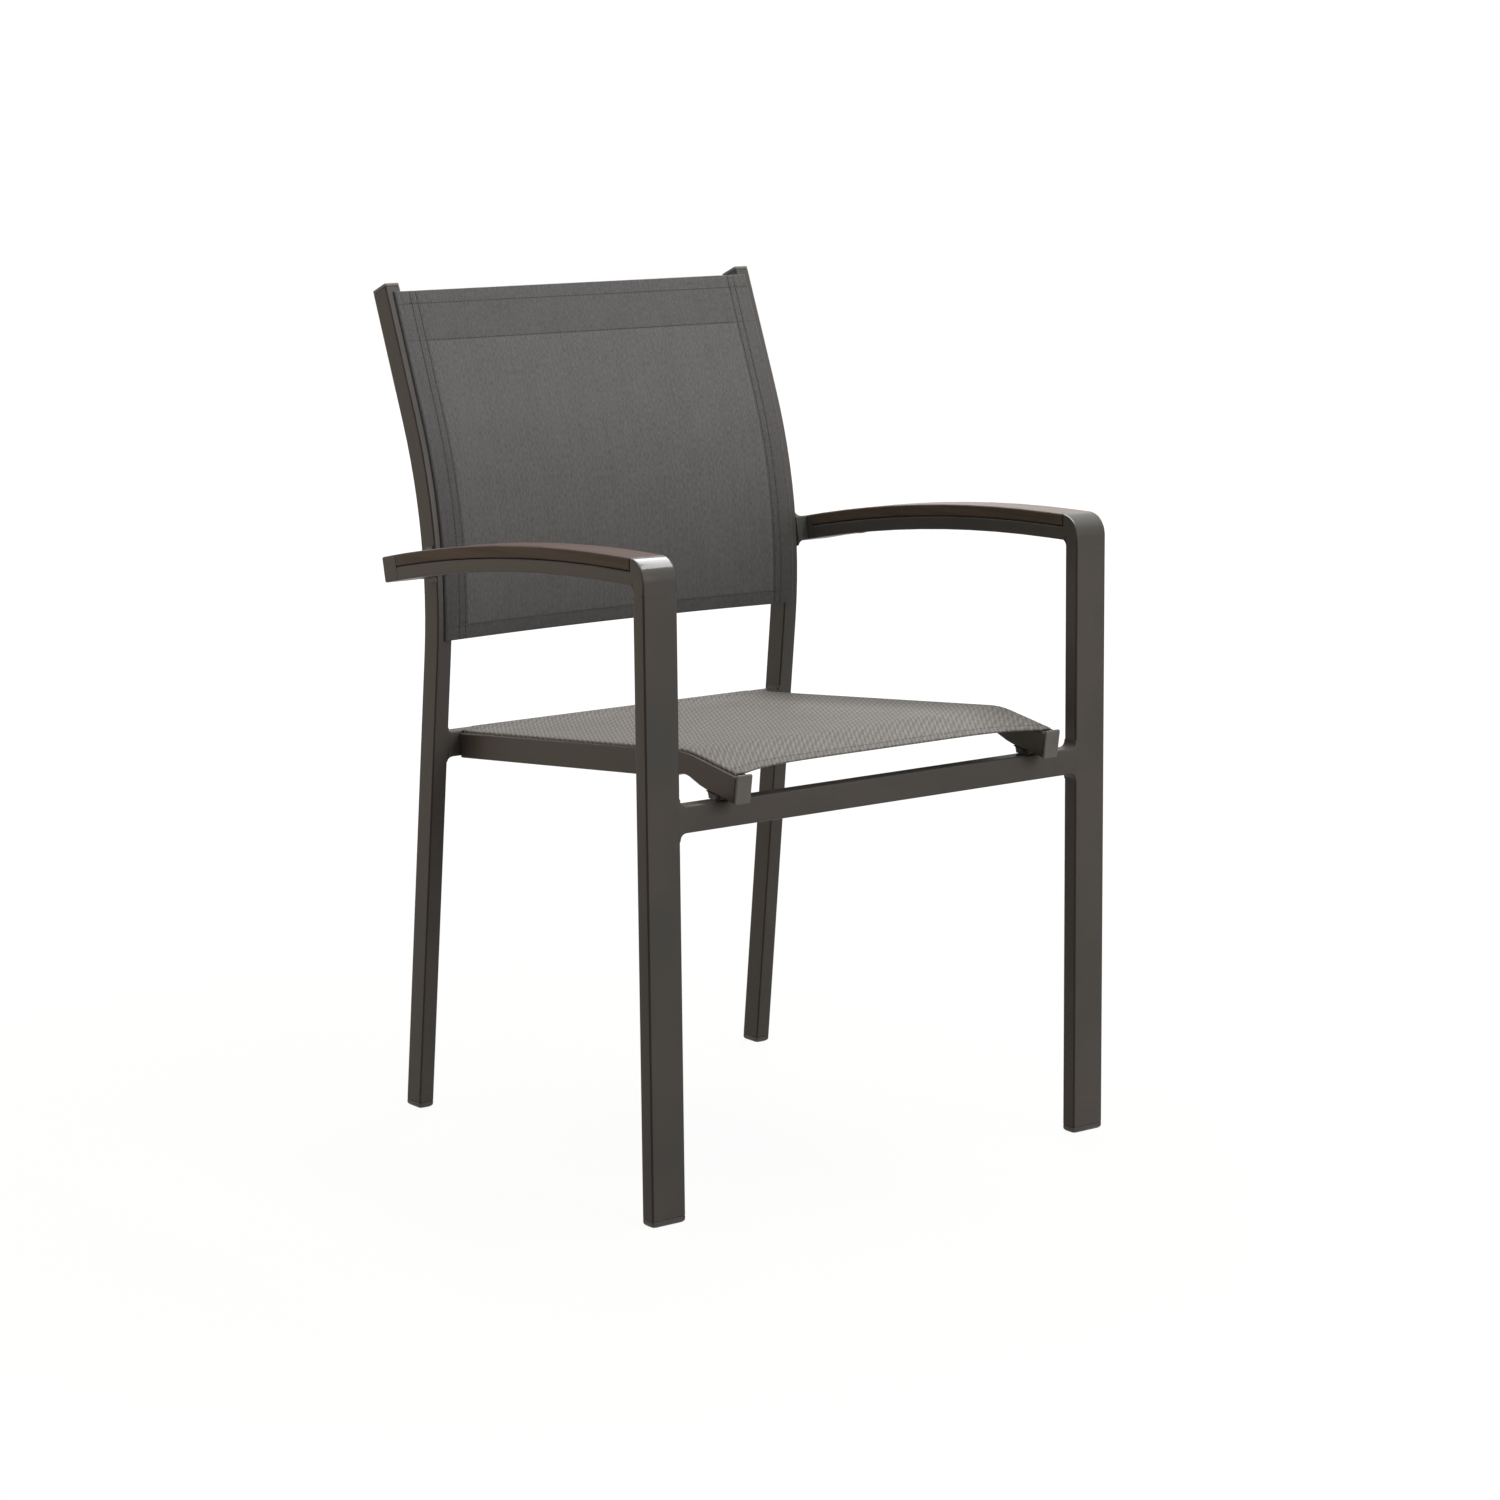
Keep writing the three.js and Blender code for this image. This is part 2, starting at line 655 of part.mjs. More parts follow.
// Caps that close the front ends of the seat rails and stand a little proud of them
const seatPlugLength = seatSlingFrontInset - tinyStep;
for (const [side, sign] of sides) {
  const low = -seatRailHeight - seatCapLip;
  const high = slingClearance + slingThickness;
  const outline = roundedRect(seatRailWidth, low, high, tubeRound);
  const face = softPrism(outline, seatCapLength, capRound, runsAlongZ);
  face.translate(0, 0, seatCapLength / 2 + jointGap);
  const plug = prism(plugSection(seatRailWidth, -seatRailHeight, 0), seatPlugLength, runsAlongZ);
  plug.translate(0, 0, tinyStep + jointGap - seatPlugLength / 2);
  const cap = surface(solid(face).add(solid(plug)));
  cap.applyMatrix4(frameOn(seatLine, seatLine.length, sign * seatRailX, 0));
  addPiece(`seat_cap_${side}`, cap, plastic());
}

// Spacers: wedges welded between the sloping rails and the front bar. The weld is drawn out hollow
// under the rail behind the bar, and stands as a bead on both sides of the rail in front.
for (const [side, sign] of sides) {
  const low = frontBarTop + jointGap;
  const high = low + spacerWeldRise;
  const profile = new THREE.Shape();
  profile.moveTo(spacerInset, low);
  profile.lineTo(frontLegDepth, low);
  profile.quadraticCurveTo(frontLegDepth, high, frontLegDepth + spacerWeldRun, high);
  profile.lineTo(frontLegDepth + spacerWeldRun, low + seatRailHeight);
  profile.lineTo(spacerInset, low + seatRailHeight);
  let spacer = solid(prism(profile, seatRailWidth, runsAlongX));
  for (const edge of [1, -1]) {
    const bead = new THREE.SphereGeometry(spacerBeadRadius, roundSides, rodSides);
    bead.rotateX(Math.PI / 2).scale(spacerBeadWidthShare, 1, 1);
    bead.translate((edge * seatRailWidth) / 2, spacerBeadRadius, low);
    spacer = spacer.add(solid(bead));
  }
  const railRoom = plainRect(seatRailWidth + 2 * jointGap, -seatRailHeight - jointGap, cutOverrun);
  const rail = solid(sweep(railRoom, seatLine, 0, seatLine.length));
  const barRoom = new THREE.BoxGeometry(seatFrameWidth, frontLegDepth, frontBarHeight);
  barRoom.translate(0, frontLegDepth / 2, low - frontBarHeight / 2);
  const piece = surface(spacer.subtract(rail).subtract(solid(barRoom)));
  addPiece(`seat_spacer_${side}`, piece.translate(sign * seatRailX, 0, 0), aluminium());
}

// The outline of a sling across its width: a panel whose two edges turn in through the channels
function slingSection(channelAt, face) {
  const outer = channelAt + slingThickness / 2;
  const inner = channelAt - slingThickness / 2;
  const back = face + slingClearance;
  const front = back + slingThickness;
  const end = face - tubeWall - slingReach;
  const bend = slingThickness / 2;
  const points = [new THREE.Vector2(-outer, end), new THREE.Vector2(-inner, end)];
  for (let column = 0; column <= slingColumns; column += 1) {
    points.push(new THREE.Vector2(-inner + (2 * inner * column) / slingColumns, back));
  }
  points.push(new THREE.Vector2(inner, end), new THREE.Vector2(outer, end));
  points.push(new THREE.Vector2(outer, front - bend));
  for (let column = slingColumns; column >= 0; column -= 1) {
    points.push(new THREE.Vector2(-inner + (2 * inner * column) / slingColumns, front));
  }
  points.push(new THREE.Vector2(-outer, front - bend));
  return new THREE.Shape(points);
}

// Back sling: flat at the top and bowed back a little toward its lower edge
{
  const bow = (across, distance) => {
    const inside = Math.max(1 - (across / uprightInnerX) ** 2, 0);
    const down = (distance - backSlingTop) / (backSlingBottom - backSlingTop);
    return -backSlingBow * inside * down ** 2;
  };
  const section = slingSection(backChannelX, halfUpright);
  const options = { lift: bow, spacing: slingSpacing };
  addPiece("back_sling", sweep(section, uprightLine, backSlingTop, backSlingBottom, options), backMesh());
}

// Seat sling: sags a little between the rails, with a front hem cut slightly hollow, and lies over
// the rear bar with its corners rounded off
{
  const rearLift = rearBarTop + jointGap - seatRearZ - slingClearance;
  const lift = (across, distance) => {
    const inside = Math.max(1 - (across / seatRailInnerX) ** 2, 0);
    const along = THREE.MathUtils.clamp(distance / seatLine.length, 0, 1);
    const rise = 1 - THREE.MathUtils.smoothstep(distance, 0, seatSlingRearRise);
    return rearLift * rise - seatSlingSag * inside * Math.sin(Math.PI * along);
  };
  const slide = (across, distance) => {
    const inside = Math.max(1 - (across / seatRailInnerX) ** 4, 0);
    const hemward = THREE.MathUtils.smoothstep(distance, seatLine.length / 2, seatSlingFront);
    return -seatSlingFrontHollow * inside * hemward;
  };
  const section = slingSection(seatSlingChannelX, 0);
  const options = { lift, slide, spacing: slingSpacing };
  const cloth = solid(sweep(section, seatLine, -seatSlingOverhang, seatSlingFront, options));
  const barRoom = new THREE.BoxGeometry(seatFrameWidth, rearBarDepth, rearBarHeight);
  const barRoomTop = rearBarTop + jointGap / 2;
  barRoom.translate(0, seatRearY + rearBarDepth / 2, barRoomTop - rearBarHeight / 2);
  let sling = cloth.subtract(solid(barRoom));
  for (const [, sign] of sides) {
    sling = sling.subtract(solid(cornerCut(sign)));
  }
  addPiece("seat_sling", surface(sling), seatMesh());
}

// What rounds off one rear corner of the seat sling
function cornerCut(sign) {
  const radius = seatSlingCornerRadius;
  const x = seatSlingChannelX + slingThickness;
  const y = seatRearY + seatSlingOverhang + tinyStep;
  const cut = new THREE.Shape();
  cut.moveTo(sign * (x - radius), y);
  cut.absarc(sign * (x - radius), y - radius, radius, Math.PI / 2, sign > 0 ? 0 : Math.PI, sign > 0);
  cut.lineTo(sign * (x + cutOverrun), y - radius);
  cut.lineTo(sign * (x + cutOverrun), y + cutOverrun);
  cut.lineTo(sign * (x - radius), y + cutOverrun);
  const body = new THREE.ExtrudeGeometry(cut, {
    depth: rearBarHeight,
    bevelEnabled: false,
    curveSegments: slingCornerDetail,
  });
  return body.translate(0, 0, rearBarTop - rearBarHeight / 2);
}

// Rods that lock the edges of the slings in their channels
function rod(line, from, to, x, face) {
  const depth = face - tubeWall - slingReach - jointGap - rodDiameter / 2;
  const points = Array.from({ length: rodSides }, (_, side) => {
    const angle = (2 * Math.PI * side) / rodSides;
    return new THREE.Vector2(Math.cos(angle), Math.sin(angle)).multiplyScalar(rodDiameter / 2);
  });
  const section = new THREE.Shape(points.map((point) => point.add(new THREE.Vector2(0, depth))));
  return sweep(section, line, from, to).translate(x, 0, 0);
}
for (const [side, sign] of sides) {
  const lower = rod(uprightLine, backSlingTop, backSlingBottom, sign * backChannelX, halfUpright);
  addPiece(`back_rod_${side}`, lower, plastic());
  const seatRodFront = seatLine.length - seatSlingFrontInset - tinyStep;
  const upper = rod(seatLine, tinyStep, seatRodFront, sign * seatSlingChannelX, 0);
  addPiece(`seat_rod_${side}`, upper, plastic());
}

// Spreader: a flat bar that keeps the back legs apart, in the pocket of the back sling between the
// two seams of its top hem
{
  const width = 2 * (uprightInnerX - jointGap);
  const high = halfUpright + slingClearance - jointGap;
  const section = roundedRect(width, high - spreaderThickness, high, spreaderRound);
  const from = spreaderTopDrop;
  addPiece("back_spreader", sweep(section, uprightLine, from, from + spreaderHeight), aluminium());
}

// The origin is on the floor under the middle of the chair
const box = new THREE.Box3().setFromObject(chair);
chair.position.y = -(box.min.y + box.max.y) / 2;

export default chair;
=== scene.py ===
import math

import bpy
import numpy as np
from mathutils import Matrix, Vector


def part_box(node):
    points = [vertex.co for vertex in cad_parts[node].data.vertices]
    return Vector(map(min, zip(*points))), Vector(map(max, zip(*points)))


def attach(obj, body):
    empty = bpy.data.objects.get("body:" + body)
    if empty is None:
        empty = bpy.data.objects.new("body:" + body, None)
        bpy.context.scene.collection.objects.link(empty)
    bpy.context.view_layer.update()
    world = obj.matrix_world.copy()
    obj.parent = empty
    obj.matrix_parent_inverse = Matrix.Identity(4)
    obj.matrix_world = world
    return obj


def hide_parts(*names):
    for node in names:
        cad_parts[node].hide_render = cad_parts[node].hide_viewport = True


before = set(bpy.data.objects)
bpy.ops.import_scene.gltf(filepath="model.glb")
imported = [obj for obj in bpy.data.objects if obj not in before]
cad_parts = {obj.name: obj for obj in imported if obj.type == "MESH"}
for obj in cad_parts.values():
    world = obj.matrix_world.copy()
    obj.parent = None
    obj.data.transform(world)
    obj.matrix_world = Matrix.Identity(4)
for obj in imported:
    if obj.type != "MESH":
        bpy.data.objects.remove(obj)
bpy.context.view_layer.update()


# Welded frame: aluminium tubes and bars, welded and ground, then powder coated together in a dark
# grey-brown. The coat has a fine grain and lies a little unevenly; painted shade darkens the tubes'
# corners. It is scuffed near the floor, and hands have polished it on the arms' front corners.

mm = 0.001
start_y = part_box("front_leg_left")[0].y / mm
front_leg_half = (19.0, 8.75)
arm_middle_x = 261.0


class Wire:
    """One output of a material's nodes; sums and products of wires add Math nodes."""

    def __init__(self, tree, socket=None):
        self.tree = tree
        self.socket = socket

    def node(self, kind, settings=None, inputs=None, out=0):
        """Adds a node: its settings first, then the values and links of its inputs."""
        made = self.tree.nodes.new("ShaderNode" + kind)
        for name, value in (settings or {}).items():
            setattr(made, name, value)
        for name, value in (inputs or {}).items():
            if isinstance(value, Wire):
                self.tree.links.new(value.socket, made.inputs[name])
            else:
                made.inputs[name].default_value = value
        return Wire(self.tree, made.outputs[out])

    def math(self, operation, *values):
        return self.node("Math", {"operation": operation}, dict(enumerate(values)))

    def __add__(self, other):
        return self.math("ADD", self, other)

    def __radd__(self, other):
        return self.math("ADD", other, self)

    def __sub__(self, other):
        return self.math("SUBTRACT", self, other)

    def __rsub__(self, other):
        return self.math("SUBTRACT", other, self)

    def __mul__(self, other):
        return self.math("MULTIPLY", self, other)

    def __rmul__(self, other):
        return self.math("MULTIPLY", other, self)

    def fade(self, low, high):
        """From 0 at low to 1 at high, smoothly; low may be the greater."""
        ends = {"Value": self, "From Min": low, "From Max": high}
        return self.node("MapRange", {"interpolation_type": "SMOOTHSTEP"}, ends)

    def noise(self, place, scale, detail=2.0):
        return self.node("TexNoise", {}, {"Vector": place, "Scale": scale, "Detail": detail})

    def blend(self, share, first, second):
        """A colour between two others."""
        return self.node("Mix", {"data_type": "RGBA"}, {0: share, 6: first, 7: second}, out=2)

    def part(self, vector, axis):
        """One axis of a place or direction."""
        return self.node("SeparateXYZ", inputs={"Vector": vector}, out=axis)

    def stretch(self, place, sizes):
        """A place with each of its axes scaled."""
        return self.node("VectorMath", {"operation": "MULTIPLY"}, {0: place, 1: sizes})


def new_finish(name):
    material = bpy.data.materials.new(name)
    material.use_nodes = True
    return material, Wire(material.node_tree)


def set_shader(wire, values):
    shader = wire.tree.nodes["Principled BSDF"]
    for name, value in values.items():
        if isinstance(value, Wire):
            wire.tree.links.new(value.socket, shader.inputs[name])
        else:
            shader.inputs[name].default_value = value


def tone(red, green, blue):
    """A colour as it is seen on a screen, as the shader's own numbers."""
    parts = [value / 255 for value in (red, green, blue)]
    return (*[(p / 12.92 if p < 0.04 else ((p + 0.055) / 1.055) ** 2.4) for p in parts], 1.0)


powder_coat, wire = new_finish("powder coat")
place = wire.node("TexCoord", out=3)
across, depth, height = (wire.part(place, axis) for axis in (0, 1, 2))
normal = wire.node("NewGeometry", out=1)
sideways = wire.math("ABSOLUTE", wire.part(normal, 0))
forward = wire.math("ABSOLUTE", wire.part(normal, 1))
from_side = wire.math("ABSOLUTE", across) - arm_middle_x * mm
from_side = wire.math("ABSOLUTE", from_side) - front_leg_half[0] * mm
from_front = wire.math("ABSOLUTE", depth - (start_y + front_leg_half[1]) * mm)
from_front = from_front - front_leg_half[1] * mm
away = wire.math("MAXIMUM", wire.math("ABSOLUTE", from_side), wire.math("ABSOLUTE", from_front))
at_bar = height.fade(0.358, 0.364) * height.fade(0.413, 0.407)
# painted shade: the tubes' corners are darkened where they turn away from the light
corners = away.fade(0.0021, 0.0008) * (1 - at_bar) * height.fade(0.614, 0.604)
corners = wire.math("MAXIMUM", corners, (sideways * forward).fade(0.2, 0.48))
grain = wire.noise(place, 1400.0)
orange_peel = wire.noise(place, 260.0)
cloudy = wire.noise(place, 9.0, 3.0)
specks = wire.noise(place, 700.0, 3.0).fade(0.62, 0.72)
scuffs = wire.noise(wire.stretch(place, (90.0, 90.0, 900.0)), 1.0, 4.0).fade(0.56, 0.66)
scuffs = scuffs * height.fade(0.07, 0.006)
handled = height.fade(0.616, 0.624) * depth.fade((start_y + 30) * mm, (start_y + 21) * mm)
handled = handled * sideways.fade(0.8, 0.5)
base = wire.blend(cloudy.fade(0.35, 0.65), tone(80, 78, 74), tone(86, 81, 78))
base = wire.blend(corners * 0.7, base, tone(34, 31, 28))
base = wire.blend(specks * 0.2, base, tone(76, 72, 67))
base = wire.blend(scuffs * 0.5, base, tone(94, 90, 84))
bump = wire.node("Bump", {}, {
    "Strength": 0.22, "Distance": 0.00008, "Height": grain * 0.5 + orange_peel})
set_shader(wire, {
    "Base Color": base, "Roughness": 0.36 + cloudy * 0.1 + scuffs * 0.14, "Normal": bump,
    "Metallic": 0.0, "Specular IOR Level": 0.1,
    "Coat Weight": 0.04 + handled * 0.66, "Coat Roughness": 0.1})


def soften(node, width):
    """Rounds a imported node's edges and smooths its bends; its own points stay as they are."""
    node.data.polygons.foreach_set("use_smooth", [True] * len(node.data.polygons))
    weld = node.modifiers.new("weld", "WELD")
    weld.merge_threshold = 0.00001
    flats = node.modifiers.new("flats", "DECIMATE")
    flats.decimate_type = "DISSOLVE"
    flats.angle_limit = math.radians(0.1)
    edges = node.modifiers.new("edges", "BEVEL")
    edges.width = width
    edges.segments = 2
    edges.limit_method = "ANGLE"
    edges.angle_limit = math.radians(38)
    edges.miter_outer = "MITER_ARC"
    normals = node.modifiers.new("normals", "WEIGHTED_NORMAL")
    normals.keep_sharp = False


def dress(names, material, width):
    for name in names:
        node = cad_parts[name]
        node.data.materials.clear()
        node.data.materials.append(material)
        soften(node, width)


sides = ("left", "right")
parts = ("front_leg", "back_leg", "arm_rail", "arm_end", "arm_bracket", "seat_rail", "seat_spacer")
welded = [f"{part}_{side}" for part in parts for side in sides]
dress(welded + ["front_bar", "rear_bar", "back_spreader"], powder_coat, 0.0005)


# Ground welds: each arm rail is welded to its front leg and ground flush, so that only a faint band
# is left. The bars are welded to the legs with hollow fillets, ground smooth on all four sides, and
# everything is coated together.

def new_piece(name, mesh):
    piece = bpy.data.objects.new(name, mesh)
    bpy.context.scene.collection.objects.link(piece)
    return piece


corner_points = 6
ring_points = 4 * corner_points
tube_round = 2.0
bar_half = (8.75, 13.0)
sleeve_wall = 1.2


def oblong(half, round_by):
    """The points of an oblong with rounded corners."""
    points = []
    for quarter, sign in enumerate(((1, 1), (-1, 1), (-1, -1), (1, -1))):
        for step in range(corner_points):
            angle = (quarter + step / (corner_points - 1)) * math.pi / 2
            turn = (math.cos(angle), math.sin(angle))
            points.append([sign[k] * (half[k] - round_by) + turn[k] * round_by for k in (0, 1)])
    return points


def loft(name, rings, lie, capped=False):
    """A skin through oblong rings, each given by its station, half sizes and corner radius; it is
    capped at both ends, or else the last ring meets the first again."""
    verts = [[value * mm for value in lie(station, *point)]
             for station, half, round_by in rings for point in oblong(half, round_by)]
    count = len(rings)
    faces = []
    for ring in range(count - capped):
        here, there = ring * ring_points, (ring + 1) % count * ring_points
        for corner in range(ring_points):
            after = (corner + 1) % ring_points
            faces.append((here + corner, here + after, there + after, there + corner))
    if capped:
        last = (count - 1) * ring_points
        faces += [tuple(range(ring_points - 1, -1, -1)), tuple(range(last, last + ring_points))]
    mesh = bpy.data.meshes.new(name)
    mesh.from_pydata(verts, [], faces)
    mesh.shade_smooth()
    mesh.set_sharp_from_angle(angle=math.radians(35))
    return new_piece(name, mesh)


def sleeve(stations, half, lifts):
    """The outer rings of a weld from its stations, and the inner ones that close it; the lifts say
    how far each ring stands over the tube."""
    skin = [(station, (half[0] + lift, half[1] + lift + flare), tube_round + lift)
            for station, flare, lift in zip(*stations, lifts)]
    core = [(station, (size[0] - sleeve_wall, size[1] - sleeve_wall), round_by)
            for station, size, round_by in skin]
    return skin + core[::-1]


def bar_weld(face, radius, past):
    """Stations of a hollow weld that flares toward a leg's face and runs a little past its edge."""
    lead_in = 0.8
    turns = [step * math.pi / 16 for step in range(9)]
    across = [face - radius - lead_in] + [face - radius * (1 - math.sin(turn)) for turn in turns]
    flare = [0.0] + [radius * (1 - math.cos(turn)) for turn in turns]
    return [*across, face + past], [*flare, radius]


welds = []
for side, sign in (("left", 1), ("right", -1)):
    low, high = (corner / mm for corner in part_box(f"front_leg_{side}"))
    middle, top = (low + high) / 2, high.z
    rings = sleeve(([top - 2, top - 1, top + 1.3, top + 2.3], [0.0] * 4), front_leg_half,
                   [-0.02, 0.03, 0.03, -0.02])
    welds.append(loft(f"arm_weld_{side}", rings, lambda station, a, b: (
        middle.x + a, middle.y + b, station)))

    low, high = (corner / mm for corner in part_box("front_bar"))
    middle = (low + high) / 2
    stations = bar_weld(face=242.0, radius=7.5, past=2.6)
    rings = sleeve(stations, bar_half, [-0.02] + [0.04] * 10)
    welds.append(loft(f"front_bar_weld_{side}", rings, lambda station, a, b: (
        sign * station, middle.y + a, middle.z + b)))

    low, high = (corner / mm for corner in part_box("rear_bar"))
    middle = (low + high) / 2
    stations = bar_weld(face=210.6, radius=5.5, past=2.4)
    rings = sleeve(stations, bar_half, [-0.02] + [0.08] * 10)
    weld_lean = 0.119
    growing = [weld_lean * share / 7 for share in range(1, 8)]
    leans = dict(zip(stations[0], [0.0] * 3 + growing + [weld_lean]))
    welds.append(loft(f"rear_bar_weld_{side}", rings, lambda station, a, b: (
        sign * station, middle.y + a - leans[station] * b, middle.z + b)))
for weld in welds:
    weld.data.materials.append(powder_coat)
    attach(weld, "root")


# Arm slats: extruded strips with a brushed, wood-toned film, let into the tops of the arm rails
# and held by screws from below. The brushing runs along the arm, and the tops are painted paler
# with painted light from above.

slat_film, wire = new_finish("brushed slat film")
place = wire.node("TexCoord", out=3)
brushing = wire.noise(wire.stretch(place, (900.0, 14.0, 900.0)), 1.0, 4.0)
streaks = wire.noise(wire.stretch(place, (160.0, 4.0, 160.0)), 1.0, 3.0)
normal = wire.node("NewGeometry", out=1)
# painted light: the faces that look up are painted paler, as if lit from above
painted_lit_tops = wire.part(normal, 2).fade(0.6, 0.95)
sides_base = wire.blend(streaks.fade(0.35, 0.65), tone(77, 68, 58), tone(91, 80, 69))
painted_lit_tops_base = wire.blend(streaks.fade(0.35, 0.65), tone(90, 71, 64), tone(104, 84, 76))
base = wire.blend(painted_lit_tops, sides_base, painted_lit_tops_base)
base = wire.blend(brushing.fade(0.45, 0.75) * 0.3, base, tone(112, 95, 84))
bump = wire.node("Bump", {}, {"Strength": 0.25, "Distance": 0.0001, "Height": brushing})
set_shader(wire, {
    "Base Color": base, "Roughness": 0.46 + brushing * 0.16, "Normal": bump,
    "Specular IOR Level": 0.1, "Coat Weight": painted_lit_tops * 0.5, "Coat Roughness": 0.22})
dress([f"arm_slat_{side}" for side in sides], slat_film, 0.0005)


# Slat bedding: a strip of black foam tape under each slat, which takes up the fine gap above the
# arm rail and stops rattles. It follows the slat's arched underside.

foam_tape, wire = new_finish("black foam tape")
place = wire.node("TexCoord", out=3)
cells = wire.noise(place, 900.0, 3.0)
bump = wire.node("Bump", {}, {"Strength": 0.5, "Distance": 0.0002, "Height": cells})
set_shader(wire, {
    "Base Color": wire.blend(cells.fade(0.3, 0.7), tone(24, 23, 22), tone(38, 37, 35)),
    "Roughness": 0.82 + cells * 0.1, "Normal": bump, "Specular IOR Level": 0.2})
tape_half = (12, 0.4)
tape_step = 4
for side in sides:
    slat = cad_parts[f"arm_slat_{side}"]
    under = {}
    for point in slat.data.vertices:
        spot = slat.matrix_world @ point.co
        key = round(spot.y / mm)
        if key not in under or spot.z < under[key].z:
            under[key] = spot
    line = []
    for key in sorted(under):
        spot = under[key]
        if not line or spot.y - line[-1].y > tape_step * mm:
            line.append(spot)
    middle_x = sum(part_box(f"arm_slat_{side}"), Vector()).x / 2
    verts = [(middle_x + way * tape_half[0] * mm, spot.y, spot.z + lift * tape_half[1] * mm)
             for spot in line[1:-1] for way, lift in ((-1, -1), (1, -1), (1, 1), (-1, 1))]
    count = len(verts) // 4
    faces = [(row * 4 + corner, row * 4 + (corner + 1) % 4,
              row * 4 + 4 + (corner + 1) % 4, row * 4 + 4 + corner)
             for row in range(count - 1) for corner in range(4)]
    faces += [(3, 2, 1, 0), tuple(count * 4 - 4 + corner for corner in range(4))]
    mesh = bpy.data.meshes.new(f"slat_tape_{side}")
    mesh.from_pydata(verts, [], faces)
    tape = new_piece(f"slat_tape_{side}", mesh)
    mesh.materials.append(foam_tape)
    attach(tape, "root")


# Slat screws: blackened steel screws with low heads, driven up through the arm rails, so that they
# hardly stand out below. Each head is turned, so it has fine rings, and holds a cross recess.

screw_steel, wire = new_finish("blackened screw steel")
spot = wire.node("VectorMath", {"operation": "SUBTRACT"}, {
    0: wire.node("TexCoord", out=0), 1: (0.5, 0.5, 0.5)})
across = wire.math("ABSOLUTE", wire.part(spot, 0))
along = wire.math("ABSOLUTE", wire.part(spot, 1))
lowest = wire.part(spot, 2).fade(-0.44, -0.46)
slot_a = across.fade(0.05, 0.035) * along.fade(0.27, 0.24)
slot_b = along.fade(0.05, 0.035) * across.fade(0.27, 0.24)
recess = wire.math("MAXIMUM", slot_a, slot_b) * lowest
reach = wire.math("SQRT", across * across + along * along)
rings = wire.math("SINE", reach * 190.0)
# the cross recess is painted near-black as painted shade; its depth is only a bump
base = wire.blend(recess, tone(58, 56, 54), tone(12, 12, 12))
bump = wire.node("Bump", {}, {
    "Strength": 0.6, "Distance": 0.0003, "Height": rings * 0.06 - recess})
set_shader(wire, {
    "Base Color": base, "Metallic": 0.85, "Roughness": 0.34 + recess * 0.3, "Normal": bump})
head_height = 2.4
head_cut_share = 0.8
for name in [f"arm_screw_{side}_{turn}" for side in sides for turn in (1, 2)]:
    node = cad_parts[name]
    points = np.array([node.matrix_world @ point.co for point in node.data.vertices])
    middle = points.mean(axis=0)
    shank = np.linalg.svd(points - middle)[2][0]
    shank *= np.sign(shank[2])
    height = (points - middle) @ shank
    rim = height.min() + head_height * mm
    lower = np.where(height < rim - 0.01 * mm, (rim - height) * head_cut_share, 0.0)
    mesh = bpy.data.meshes.new(f"low_head_{name}")
    mesh.from_pydata((points + lower[:, None] * shank).tolist(), [],
                     [list(face.vertices) for face in node.data.polygons])
    mesh.materials.append(screw_steel)
    screw = new_piece(f"low_head_{name}", mesh)
    soften(screw, 0.0001)
    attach(screw, "root")
    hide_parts(name)


# Caps, rods and feet: moulded plastic with a fine eroded grain, pressed into the tube ends; the
# rods are drawn and smooth. The feet are dark glides with well-rounded bottom edges, worn paler
# where they rub on the floor.

moulding, wire = new_finish("moulded plastic")
place = wire.node("TexCoord", out=3)
height = wire.part(place, 2)
grain = wire.noise(place, 1100.0, 3.0)
patches = wire.noise(place, 60.0, 3.0)
wear = height.fade(0.004, 0.0) * patches.fade(0.3, 0.6)
base = wire.blend(height.fade(0.1, 0.3), tone(60, 56, 51), tone(98, 95, 91))
base = wire.blend(patches.fade(0.3, 0.7) * 0.35, base, tone(78, 75, 71))
base = wire.blend(wear * 0.6, base, tone(112, 109, 104))
bump = wire.node("Bump", {}, {"Strength": 0.3, "Distance": 0.00012, "Height": grain})
set_shader(wire, {
    "Base Color": base, "Roughness": 0.5 + grain * 0.16, "Normal": bump,
    "Specular IOR Level": 0.45})
moulded = ("back_cap", "seat_cap", "back_rod", "seat_rod")
dress([f"{part}_{side}" for part in moulded for side in sides], moulding, 0.0004)

upright_lean = 0.1191
glide_round, glide_rim, glide_top = 3.6, 6.1, 6.5
plug_inset, plug_top = 2.2, 22.4
for part, half, place_y, lean in (("front_foot", front_leg_half, front_leg_half[1], 0.0),
                                  ("back_foot", (8.6, 13.09), 512.1, upright_lean)):
    for side in sides:
        middle_x = sum(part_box(f"{part}_{side}"), Vector()).x / 2 / mm
        turns = [step * math.pi / 12 for step in range(7)]
        rings = [(glide_round * (1 - math.cos(turn)), glide_round * (1 - math.sin(turn)))
                 for turn in turns]
        rings += [(glide_rim, 0.0), (glide_top, 0.4),
                  (glide_top, plug_inset), (plug_top, plug_inset)]
        rings = [(rise, (half[0] - inset, half[1] - inset),
                  tube_round + 0.6 * inset * (rise < glide_rim)) for rise, inset in rings]
        glide = loft(f"{part}_glide_{side}", rings, lambda rise, a, b: (
            middle_x + a, start_y + place_y - lean * rise + b, rise), capped=True)
        glide.data.materials.append(moulding)
        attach(glide, "root")
        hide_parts(f"{part}_{side}")


# Back sling: one length of coated mesh with vertical ribs. Its sides are folded, sewn twice and
# locked in the back legs' channels; its top is sewn into a pocket round the spreader bar, and its
# lower edge is hemmed. It is stretched, and bows back a little low down.

